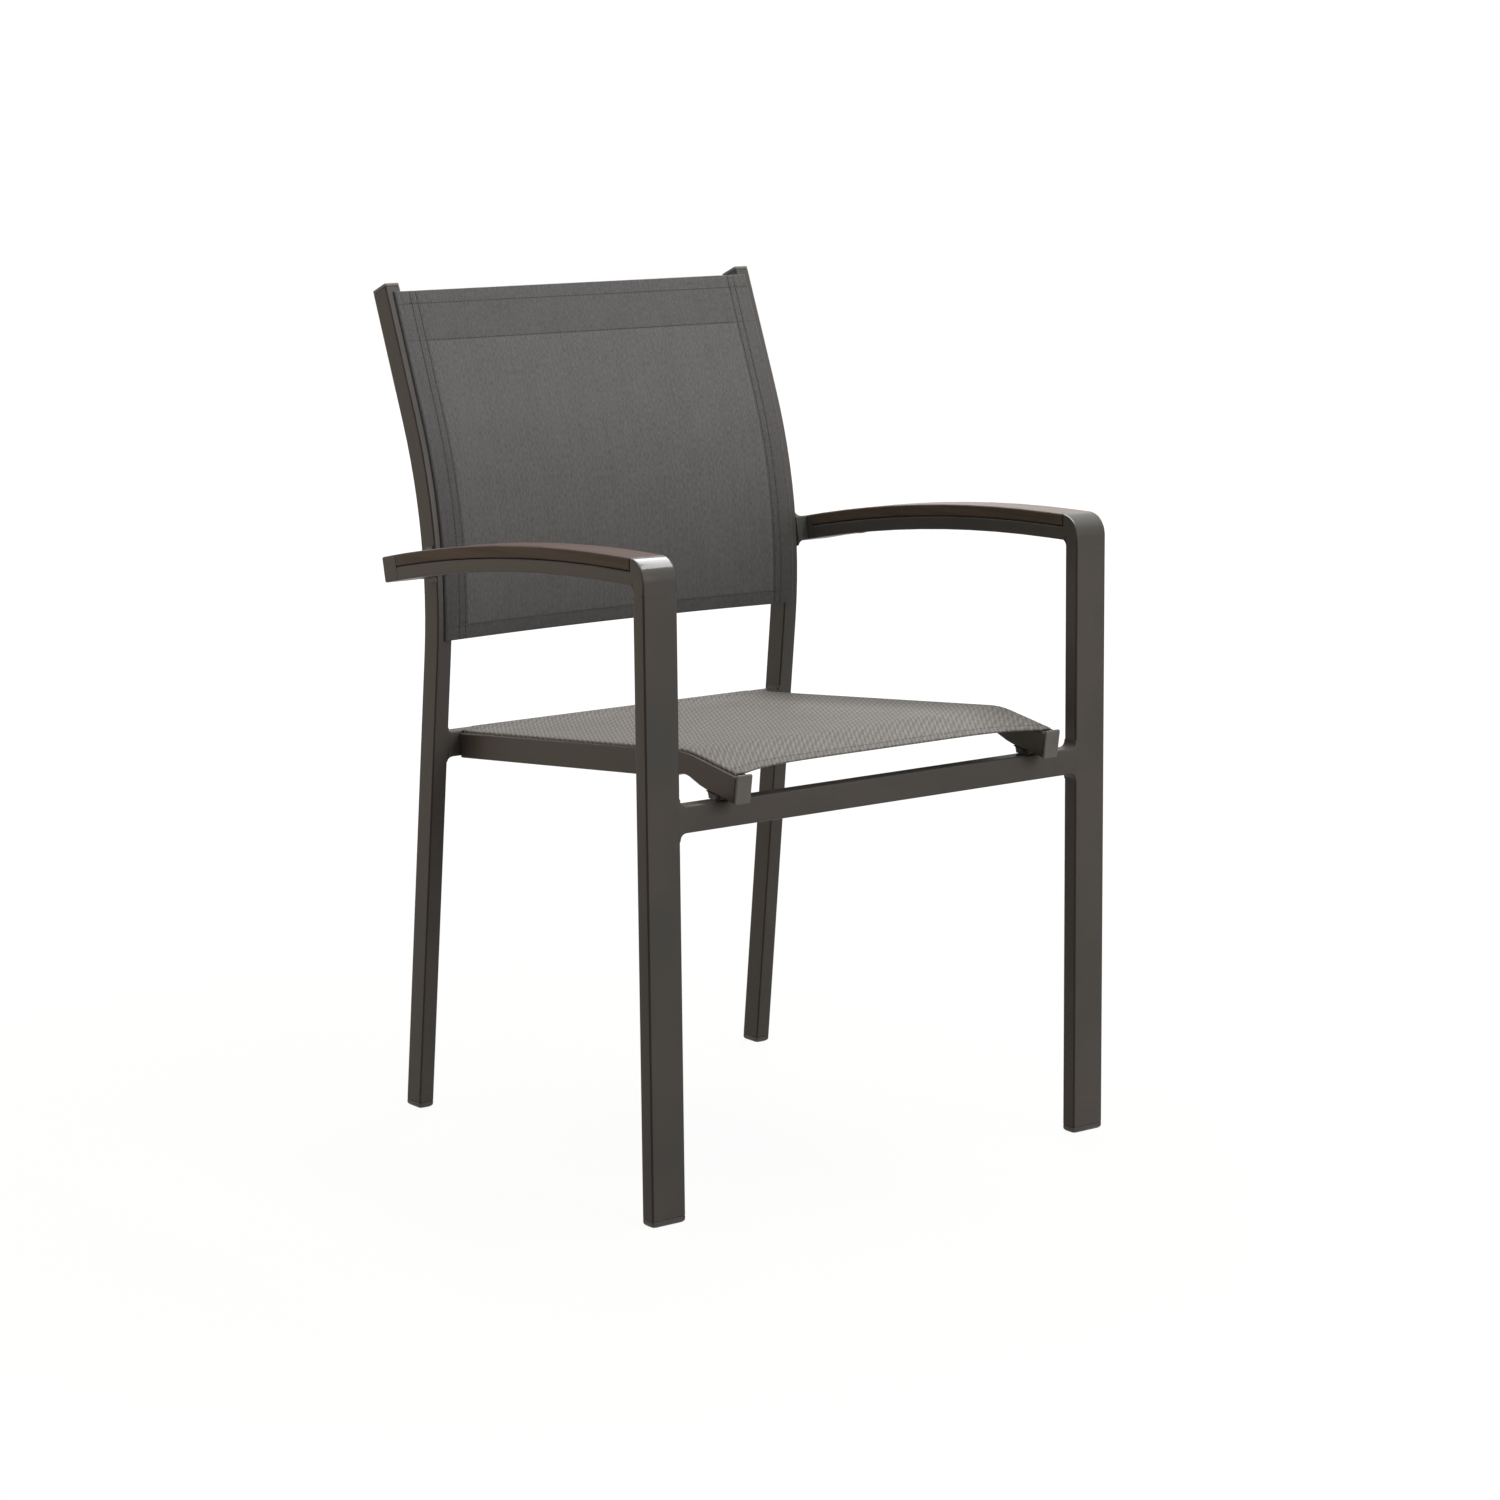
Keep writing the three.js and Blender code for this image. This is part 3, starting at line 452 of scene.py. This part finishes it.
def bent_line(start, corner, end, radius):
    """A side-view line of two straights and their bend: y, z and the outward way at a distance."""
    start, corner, end = (np.array(point, float) for point in (start, corner, end))
    first, last = corner - start, end - corner
    turn = math.atan2(first[0] * last[1] - first[1] * last[0], first @ last)
    trim = radius * math.tan(abs(turn) / 2)
    lead = np.linalg.norm(first) - trim
    bend = radius * abs(turn)
    heading = math.atan2(first[1], first[0])

    def at(distance):
        turned = turn * np.clip((distance - lead) / bend, 0, 1)
        chord = 2 * radius * np.sin(np.abs(turned) / 2)
        before, after = np.minimum(distance, lead), np.maximum(distance - lead - bend, 0)
        middle, final = heading + turned / 2, heading + turned
        y = math.cos(heading) * before + np.cos(middle) * chord + np.cos(final) * after
        z = math.sin(heading) * before + np.sin(middle) * chord + np.sin(final) * after
        return start[0] + y, start[1] + z, np.sin(final), -np.cos(final)

    return at, lead + bend + np.linalg.norm(last) - trim


upright_at, _ = bent_line((536.4, 852.5), (439.8, 606.8), (512.1, 0), 496)
bend_angles = (0.0, 0.4, 0.8, 1.2, math.pi / 2)
back_bow = 9
cloth_thick = 1.0
fold_gap = 0.1
layer = cloth_thick + fold_gap
back_face = 15.6
back_edge_x = 220.3
back_turn = 2.4
back_flat = back_edge_x - back_turn
back_half = back_flat + back_turn * math.pi / 2 + 3.6
back_top, back_bottom = 10.0, 364.5
back_inner_x = 210.6
side_fold_x = 192.5
side_seams = (195.5, 203.0)
top_seams = (back_top + 13.8, back_top + 52.8)
bottom_seam = back_bottom - 14.0


def back_place(across, along, depth):
    """A point of the back sling: across it, down it, and behind its front face."""
    turn = np.clip((np.abs(across) - back_flat) / back_turn, 0, math.pi / 2)
    x = np.minimum(np.abs(across), back_flat) + (back_turn - depth) * np.sin(turn)
    sunk = np.maximum(np.abs(across) - back_flat - back_turn * math.pi / 2, 0)
    drop = back_turn * (1 - np.cos(turn)) + depth * np.cos(turn) + sunk
    inside = np.maximum(1 - (x / back_inner_x) ** 2, 0)
    down = np.clip((along - back_top) / (back_bottom - back_top), 0, 1)
    out = back_face - drop - back_bow * inside * down**2
    y, z, out_y, out_z = upright_at(along)
    return np.stack([np.sign(across) * x, start_y + y + out_y * out, z + out_z * out], -1) * mm


def even_marks(low, high, step, seams=()):
    """Evenly spread places from low to high, drawn closer together beside each seam."""
    count = max(1, round((high - low) / step))
    near = [seam + shift for seam in seams for shift in (-1.6, -0.8, 0.0, 0.8, 1.6)]
    spread = [low + (high - low) * part / count for part in range(count + 1)]
    keep = [low, high] + [m for m in spread[1:-1] if all(abs(m - n) > 1.2 for n in near)]
    return np.array(sorted(keep + [n for n in near if low < n < high]))


def with_turns(columns, flat, turn_radius):
    """The columns, and those of the bend at each side where the cloth turns into its channel."""
    bends = (side * (flat + turn_radius * angle) for side in (-1, 1) for angle in bend_angles)
    return np.array(sorted({*columns, *bends}))


def round_path(corners, fold=0.55, step=3.0):
    """A side-view path through corners, each rounded by a small arc and cut into short steps."""
    corners = [np.array(corner, float) for corner in corners]
    path = [corners[0]]
    for before, corner, after in zip(corners, corners[1:], corners[2:]):
        into = (corner - before) / np.linalg.norm(corner - before)
        away = (after - corner) / np.linalg.norm(after - corner)
        for share in np.linspace(0, 1, 7):
            one = corner - into * fold * (1 - share)
            two = corner + away * fold * share
            path.append(one * (1 - share) + two * share)
    path.append(corners[-1])
    fine = []
    for one, two in zip(path, path[1:]):
        parts = max(1, int(np.linalg.norm(two - one) / step))
        fine += [one + (two - one) * part / parts for part in range(parts)]
    return np.array([*fine, path[-1]])


def sheet_mesh(name, columns, path, thick, place, relief=None):
    """A closed sheet that follows a side-view path of along and depth, spread over its columns."""
    ahead = np.gradient(path, axis=0)
    ahead /= np.linalg.norm(ahead, axis=1)[:, None]
    normal = np.stack([-ahead[:, 1], ahead[:, 0]], 1)
    across = np.broadcast_to(columns[None], (len(path), len(columns)))
    layers = []
    for face in (-0.5, 0.5):
        edge = path + normal * thick * face
        along = np.broadcast_to(edge[:, :1], across.shape)
        depth = np.broadcast_to(edge[:, 1:], across.shape)
        sink = relief(across, along) if relief is not None else 0.0
        layers.append(place(across, along, depth + sink))
    shape = (2, *across.shape)
    points = np.stack(layers).reshape(-1, 3)
    index = np.arange(len(points)).reshape(shape)
    faces = []

    def quads(grid, flip):
        corners = [grid[:-1, :-1], grid[:-1, 1:], grid[1:, 1:], grid[1:, :-1]]
        ring = np.stack(corners[::-1] if flip else corners, -1).reshape(-1, 4)
        faces.extend(ring.tolist())

    quads(index[0], True)
    quads(index[1], False)
    quads(index[:, 0], True)
    quads(index[:, -1], False)
    quads(index[:, :, 0], False)
    quads(index[:, :, -1], True)
    mesh = bpy.data.meshes.new(name)
    mesh.from_pydata(points.tolist(), [], faces)
    cloth = mesh.attributes.new("cloth", "FLOAT_VECTOR", "POINT")
    flat = np.stack([across, np.broadcast_to(path[:, :1], across.shape), across * 0], -1) * mm
    cloth.data.foreach_set("vector", np.stack([flat, flat]).reshape(-1).astype(np.float32))
    mesh.shade_smooth()
    return new_piece(name, mesh)


seam_depth, seam_width = 0.32, 0.9
pucker_depth, pucker_width, pucker_pitch = 0.1, 4, 9.5


def seam_relief(columns_seams, rows_seams):
    """How deep the stitches pull the cloth in along its seams, with small puckers beside them."""
    def pulled(away, run, seam):
        pucker = 0.5 + 0.5 * np.sin(run * 2 * math.pi / pucker_pitch + seam)
        return (seam_depth * np.exp(-((away / seam_width) ** 2))
                + pucker_depth * pucker * np.exp(-away / pucker_width))

    def relief(across, along):
        sink = np.zeros(np.shape(across))
        for seam in columns_seams:
            sink += pulled(np.abs(np.abs(across) - seam), along, seam)
        for seam in rows_seams:
            sink += pulled(np.abs(along - seam), across, seam)
        return sink

    return relief


def joined(name, pieces):
    """One piece made of several."""
    mesh = bpy.data.meshes.new(name)
    points, faces, cloth = [], [], []
    for piece in pieces:
        start = len(points)
        points += [tuple(point.co) for point in piece.data.vertices]
        faces += [[start + corner for corner in face.vertices] for face in piece.data.polygons]
        cloth += [value for item in piece.data.attributes["cloth"].data for value in item.vector]
        bpy.data.objects.remove(piece)
    mesh.from_pydata(points, [], faces)
    mesh.attributes.new("cloth", "FLOAT_VECTOR", "POINT").data.foreach_set("vector", cloth)
    mesh.shade_smooth()
    return new_piece(name, mesh)


half = layer / 2
front_mid = cloth_thick / 2
rear_mid = front_mid + layer
panel_path = round_path([
    (back_bottom - 17.0, rear_mid),
    (back_bottom - front_mid, rear_mid),
    (back_bottom - front_mid, front_mid),
    (back_top + front_mid, front_mid),
    (back_top + front_mid, rear_mid),
    (top_seams[0] + 1.6, rear_mid),
], fold=half)
panel_columns = even_marks(
    -back_half, back_half, 4.0, [side * seam for seam in side_seams for side in (-1, 1)])
panel_columns = with_turns(panel_columns, back_flat, back_turn)
relief = seam_relief(side_seams, [*top_seams, bottom_seam])
panel = sheet_mesh("back_panel", panel_columns, panel_path, cloth_thick, back_place, relief)

bar_from, bar_to, bar_depth = 28.0, 58.0, 7.5
pocket_path = round_path([
    (top_seams[0] + 0.8, rear_mid),
    (bar_from - 0.6, bar_depth + 0.9),
    (bar_to + 0.6, bar_depth + 0.9),
    (top_seams[1] - 0.4, rear_mid),
    (top_seams[1] + 3.4, rear_mid),
], fold=1.2, step=2.0)
pocket_half = back_inner_x - 1.1
pocket_columns = even_marks(-pocket_half, pocket_half, 5.0)
pocket = sheet_mesh("back_pocket", pocket_columns, pocket_path, cloth_thick, back_place)

folds = []
for side in (-1, 1):
    ends = sorted((side * side_fold_x, side * back_half))
    fold_columns = even_marks(*ends, 4.0, [side * x for x in side_seams])
    fold_path = round_path([(top_seams[1] + 3.8, rear_mid), (back_bottom - 17.3, rear_mid)])
    folds.append(sheet_mesh("back_fold", fold_columns, fold_path, cloth_thick, back_place))
back = joined("back_cloth", [panel, pocket, *folds])


def mesh_cloth(name, light, dark, pitch, ribs, layers, figure=None):
    """Coated yarns woven with small open holes, painted dark as shade; the ribs say how much the
    warp stands proud. The cloth is painted darker as shade where it is doubled, because no light
    comes through it, and along its seams."""
    material, wire = new_finish(name)
    place = wire.node("Attribute", {"attribute_name": "cloth"}, out=1)
    across = wire.part(place, 0) * (1 / pitch)
    along = wire.part(place, 1) * (1 / pitch)
    warp = wire.math("ABSOLUTE", wire.math("SINE", across * math.pi))
    weft = wire.math("ABSOLUTE", wire.math("SINE", along * math.pi))
    over = wire.math("SINE", (across + along) * math.pi) * 0.5 + 0.5
    holes = warp.fade(0.5, 0.2) * weft.fade(0.5, 0.2)
    yarn = wire.node("TexWhiteNoise", {"noise_dimensions": "1D"}, {
        "W": wire.math("FLOOR", across)})
    slub = wire.noise(wire.stretch(place, (620.0, 200.0, 1.0)), 1.0, 1.0).fade(0.25, 0.75)
    drift = wire.noise(wire.stretch(place, (700.0, 26.0, 1.0)), 1.0, 3.0)
    cloudy = wire.noise(place, 26.0, 3.0)
    lightness = 0.1 * yarn + 0.4 * drift + 0.2 * cloudy + ribs * warp + 0.1 * over
    lightness = lightness + 0.35 * (slub - 0.4)
    if figure is not None:
        lightness = lightness + figure(wire, place)
    base = wire.blend(lightness.fade(0.1, 1.1), dark, light)
    painted_doubled_shade, sewn = layers(wire, place)
    # painted shade: the open holes, the doubled parts and the seams are darkened
    base = wire.blend(holes * (0.45 + 0.4 * painted_doubled_shade), base, tone(30, 29, 28))
    base = wire.blend(wire.math("MAXIMUM", painted_doubled_shade * 0.42, sewn * 0.45), base, tone(40, 39, 41))
    height = warp * (0.6 + 0.4 * over) + weft * 0.4 - holes
    bump = wire.node("Bump", {}, {"Strength": 0.5, "Distance": 0.00025, "Height": height})
    set_shader(wire, {
        "Base Color": base, "Roughness": 0.62 + 0.2 * holes, "Normal": bump,
        "Specular IOR Level": 0.25, "Sheen Weight": 0.05, "Sheen Roughness": 0.5})
    return material


def highest(wire, *shares):
    whole = shares[0]
    for share in shares[1:]:
        whole = wire.math("MAXIMUM", whole, share)
    return whole


def back_layers(wire, place):
    """Painted shade where the back sling is doubled, at its sides, pocket and lower hem, and where
    it is sewn; at the sides it grows darker towards the bottom.
    """
    across = wire.math("ABSOLUTE", wire.part(place, 0))
    along = wire.part(place, 1)
    # painted shade: the doubled sides are darkened more towards the bottom
    lower = 0.5 + 0.5 * along.fade(back_top * mm, back_bottom * mm)
    doubled = highest(wire, across.fade(side_fold_x * mm, (side_fold_x + 1) * mm) * lower,
                      along.fade((top_seams[1] + 1) * mm, top_seams[1] * mm) * 0.5,
                      along.fade((bottom_seam - 1) * mm, bottom_seam * mm) * 0.7)
    away = [wire.math("ABSOLUTE", across - seam * mm) for seam in side_seams]
    away += [wire.math("ABSOLUTE", along - seam * mm) for seam in (*top_seams, bottom_seam)]
    return doubled, highest(wire, *(distance.fade(1.5 * mm, 0.4 * mm) for distance in away))


back_mesh = mesh_cloth("ribbed back mesh", tone(98, 96, 95), tone(68, 67, 66), 0.0015, 0.3,
                       back_layers)
back.data.materials.append(back_mesh)


thread_sides = 5
stitch_pitch = 4.4


def stitch_row(points, ways, lifts, thread):
    """Short sewn loops of thread: each is a small bent capsule that dips in at both ends."""
    verts, faces = [], []
    for point, way, lift in zip(points, ways, lifts):
        way, lift = Vector(way).normalized(), Vector(lift).normalized()
        side = way.cross(lift)
        start = len(verts)
        rings = [(-0.5, -0.7), (-0.36, 0.2), (0.0, 0.5), (0.36, 0.2), (0.5, -0.7)]
        for run, rise in rings:
            centre = Vector(point) + way * run * thread[0] + lift * rise * thread[1]
            for corner in range(thread_sides):
                angle = corner * 2 * math.pi / thread_sides
                spoke = side * math.cos(angle) + lift * math.sin(angle)
                verts.append(centre + spoke * thread[1] / 2)
        for ring in range(len(rings) - 1):
            near = start + ring * thread_sides
            far = near + thread_sides
            for corner in range(thread_sides):
                after = (corner + 1) % thread_sides
                faces.append((near + corner, near + after, far + after, far + corner))
    return verts, faces


def stitches(name, place, rows, thread):
    """Rows of stitches; each row is given by two ends on the cloth as across and along."""
    verts, faces = [], []
    for (from_across, from_along), (to_across, to_along) in rows:
        length = math.hypot(to_across - from_across, to_along - from_along)
        count = int(length / stitch_pitch)
        shares = (np.arange(count) + 0.5) / count
        across = from_across + (to_across - from_across) * shares
        along = from_along + (to_along - from_along) * shares
        step = 0.3 / length
        ahead = place(across + (to_across - from_across) * step,
                      along + (to_along - from_along) * step, np.full_like(across, 0.0))
        at = place(across, along, np.full_like(across, 0.25))
        surface = place(across, along, np.full_like(across, 0.0))
        more_verts, more_faces = stitch_row(at, ahead - surface, surface - at, thread)
        faces += [tuple(len(verts) + corner for corner in face) for face in more_faces]
        verts += more_verts
    mesh = bpy.data.meshes.new(name)
    mesh.from_pydata(verts, [], faces)
    mesh.shade_smooth()
    return new_piece(name, mesh)


thread_finish, wire = new_finish("bonded sewing thread")
place = wire.node("TexCoord", out=3)
twist = wire.noise(place, 2600.0, 1.0)
base = wire.blend(twist.fade(0.35, 0.65), tone(36, 35, 33), tone(58, 56, 53))
bump = wire.node("Bump", {}, {"Strength": 0.4, "Distance": 0.0001, "Height": twist})
set_shader(wire, {"Base Color": base, "Roughness": 0.6 + twist * 0.1, "Normal": bump})

side_rows = [((side * x, back_top + 1.5), (side * x, back_bottom - 1.5))
             for x in side_seams for side in (-1, 1)]
hem_half = side_seams[1] + 14.0
hem_rows = [((-hem_half, along), (hem_half, along)) for along in (top_seams[0], bottom_seam)]
hem_rows += [((-side_fold_x, top_seams[1]), (side_fold_x, top_seams[1]))]
back_thread = stitches("back_stitches", back_place, side_rows + hem_rows, (3.2 * mm, 0.75 * mm))
back_thread.data.materials.append(thread_finish)
for piece in (back, back_thread):
    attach(piece, "root")
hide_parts("back_sling")


# Seat sling: one length of the same coated mesh, woven in a diagonal figure. Its sides are locked
# in the seat rails' channels, its front hem is cut hollow and turned under, and it lies over the
# rear bar with rounded corners. It sags a little between the rails.

seat_rear_y, seat_rear_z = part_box("seat_rail_left")[1].y / mm - start_y, 402.1
seat_at, seat_length = bent_line((seat_rear_y, seat_rear_z), (56.3, 437.3), (-25, 424.1), 125)
seat_top = 2.6
seat_edge_x = 193.1
seat_turn = 2.4
seat_flat = seat_edge_x - seat_turn
seat_half = seat_flat + seat_turn * math.pi / 2 + 3.4
seat_inner_x = 179.1
seat_front = seat_length - 6.0
seat_rear = -10.0
seat_corner = (22.0, 12.0)
seat_sag = 3
seat_hollow = 12.5
hem_depth = 15.0


def smooth_share(value, low, high):
    """From 0 at low to 1 at high, smoothly."""
    share = np.clip((value - low) / (high - low), 0, 1)
    return share * share * (3 - 2 * share)


def seat_place(across, along, depth):
    """A point of the seat sling: across it, forward along it, and below its top face."""
    turn = np.clip((np.abs(across) - seat_flat) / seat_turn, 0, math.pi / 2)
    x = np.minimum(np.abs(across), seat_flat) + (seat_turn - depth) * np.sin(turn)
    sunk = np.maximum(np.abs(across) - seat_flat - seat_turn * math.pi / 2, 0)
    drop = seat_turn * (1 - np.cos(turn)) + depth * np.cos(turn) + sunk
    inside = np.maximum(1 - (x / seat_inner_x) ** 2, 0)
    sag = seat_sag * inside * np.sin(math.pi * np.clip(along / seat_length, 0, 1))
    lifted = 1.3 * (1 - smooth_share(x, 172, 188)) * (1 - smooth_share(along, 0, 28))
    rise = lifted + 0.9 * (1 - smooth_share(along, 0, 10))
    hollow = np.maximum(1 - (x / seat_inner_x) ** 6, 0)
    slid = along - seat_hollow * hollow * smooth_share(along, seat_length / 2, seat_front)
    y, z, out_y, out_z = seat_at(slid)
    out = seat_top - drop - sag + rise
    return np.stack([np.sign(across) * x, start_y + y + out_y * out, z + out_z * out], -1) * mm


def seat_cut(across, along, depth):
    """A point of the seat sling, drawn in at the rear so that its corners there are round."""
    reach = np.clip((np.abs(across) - seat_edge_x) / seat_corner[0] + 1, 0, 1)
    inset = seat_corner[1] * (1 - np.sqrt(1 - reach**2))
    share = np.clip((seat_rear + 60 - along) / 60, 0, 1)
    return seat_place(across, along + inset * share, depth)


seat_path = round_path([
    (seat_rear, front_mid),
    (seat_front - front_mid, front_mid),
    (seat_front - front_mid, rear_mid),
    (seat_front - hem_depth, rear_mid),
], fold=half)
seat_columns = with_turns(even_marks(-seat_half, seat_half, 4.0), seat_flat, seat_turn)
hem_line = seat_front - 12.0
seat_relief = seam_relief([], [hem_line])
seat = sheet_mesh("seat_cloth", seat_columns, seat_path, cloth_thick, seat_cut, seat_relief)


def twill_figure(wire, place):
    """Two crossing sets of diagonal floats, one steep and fine, one flatter and broad."""
    across = wire.part(place, 0)
    along = wire.part(place, 1)
    fine = wire.math("SINE", (across * 206.0 + along * 125.0) * (2 * math.pi))
    broad = wire.math("SINE", (across * 94.0 + along * 100.0) * (2 * math.pi))
    return 0.2 * fine + 0.12 * broad


def seat_layers(wire, place):
    """Painted shade where the seat sling is doubled, at its front hem, and where it is sewn."""
    along = wire.part(place, 1)
    hem = (seat_front - hem_depth) * mm
    away = wire.math("ABSOLUTE", along - hem_line * mm)
    return along.fade(hem - 0.001, hem) * 0.3, away.fade(1.5 * mm, 0.4 * mm) * 0.5


# painted light: the seat's tones are lighter than the back's same cloth, as if lit from above
seat_mesh = mesh_cloth("twilled seat mesh", tone(140, 135, 128), tone(88, 85, 80), 0.0015, 0.15,
                       seat_layers, twill_figure)
seat.data.materials.append(seat_mesh)
seat_thread = stitches("seat_stitches", seat_cut,
                       [((-side_fold_x + 2, hem_line), (side_fold_x - 2, hem_line))],
                       (3.2 * mm, 0.55 * mm))
seat_thread.data.materials.append(thread_finish)
for piece in (seat, seat_thread):
    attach(piece, "root")
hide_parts("seat_sling")


# Studio: a white floor and a white surround, which shows white but lights little, and mirrors
# darker on the photographer's side. Soft lamps stand overhead, in front and over the far arm. A
# small one serves the back sling and a warm one the near side. The floor keeps a faint shadow.

def lamp(name, place, target, size, power, colour=(1.0, 1.0, 1.0), spread=180):
    data = bpy.data.lights.new(name, "AREA")
    data.shape = "RECTANGLE"
    data.size, data.size_y = size
    data.energy = power
    data.color = colour
    data.spread = math.radians(spread)
    made = bpy.data.objects.new(name, data)
    made.location = place
    made.rotation_euler = (Vector(target) - Vector(place)).to_track_quat("-Z", "Y").to_euler()
    made.visible_camera = False
    bpy.context.scene.collection.objects.link(made)
    return made


world = bpy.data.worlds.new("surround")
world.use_nodes = True
bpy.context.scene.world = world
sky = Wire(world.node_tree)
seen, glossy, through = (sky.node("LightPath", out=out) for out in (0, 3, 6))
toward = sky.node("VectorMath", {"operation": "DOT_PRODUCT"}, {
    0: sky.node("TexCoord", out=0), 1: (-0.592, -0.784, 0.184)}, out=1)
shown = sky.math("MAXIMUM", glossy, through) * (1 - 0.85 * toward.fade(0.7, 0.92))
shown = sky.math("MAXIMUM", seen, shown)
background = world.node_tree.nodes["Background"]
background.inputs["Color"].default_value = (1.0, 1.0, 1.0, 1.0)
world.node_tree.links.new((0.12 + 0.88 * shown).socket, background.inputs["Strength"])

floor_mesh = bpy.data.meshes.new("studio_floor")
floor_radius, floor_corners = 9, 48
rim = [(floor_radius * math.cos(angle), floor_radius * math.sin(angle), 0.0)
       for angle in np.linspace(0, 2 * math.pi, floor_corners + 1)[:-1]]
floor_mesh.from_pydata(rim, [], [tuple(range(floor_corners))])
floor = new_piece("studio_floor", floor_mesh)
floor_paint, wire = new_finish("white studio floor")
rays = [wire.node("LightPath", out=out) for out in (0, 3, 6)]
seen = wire.math("MAXIMUM", wire.math("MAXIMUM", rays[0], rays[1]), rays[2])
middle = wire.node("VectorMath", {"operation": "LENGTH"}, {0: wire.node("TexCoord", out=3)}, out=1)
glow = wire.node("Emission", {}, {
    "Color": (1.0, 1.0, 1.0, 1.0), "Strength": 1.12 + 0.14 * middle.fade(0.5, 3.0)})
matte = wire.node("BsdfDiffuse", {}, {"Color": (0.32, 0.28, 0.23, 1.0)})
mixed = wire.node("MixShader", {}, {0: seen * 0.86, 1: matte, 2: glow})
wire.tree.links.new(mixed.socket, wire.tree.nodes["Material Output"].inputs["Surface"])
floor_mesh.materials.append(floor_paint)

lamp("strip", (0.85, 0.12, 2.0), (0.85, 0.12, 0.0), (0.45, 2.15), 31)
lamp("overhead", (-0.3, 0.2, 3.2), (0.0, 0.0, 0.5), (2.4, 2.4), 34)
lamp("front", (1.0, -3.4, 1.5), (0.0, 0.0, 0.4), (1.6, 1.6), 58)
lamp("back_panel", (-0.35, -0.75, 1.45), (-0.05, 0.25, 0.88), (0.4, 0.3), 0.4, spread=60)
lamp("fill", (-1.25, 0.95, 0.55), (-0.25, 0.05, 0.5), (0.9, 0.9), 3.2, (1.0, 0.72, 0.45))


# Camera: a long lens, a little higher than the chair's back, off its right front corner. It rolls
# by half a degree. Its place, aim and lens were solved from the edges in the photograph.

eye = Vector((-2.276022, -2.872643 + start_y * mm, 1.081757))
sight = Vector((0.5920953, 0.784496, -0.18436156)).normalized()
level = Vector((0.784496, -0.5920953, 0.0)).normalized()
upward = level.cross(sight)
roll = math.radians(-0.47)
right = level * math.cos(roll) + upward * math.sin(roll)
upward = -level * math.sin(roll) + upward * math.cos(roll)
lens = bpy.data.cameras.new("camera")
lens.sensor_width = 36.0
lens.lens = 93.13
lens.shift_x = -0.03068
lens.shift_y = 0.02095
lens.clip_end = 60.0
camera = bpy.data.objects.new("camera", lens)
turned = Matrix((right, upward, -sight)).transposed().to_4x4()
camera.matrix_world = Matrix.Translation(eye) @ turned
bpy.context.scene.collection.objects.link(camera)
bpy.context.scene.camera = camera
bpy.context.scene.view_settings.view_transform = "Standard"
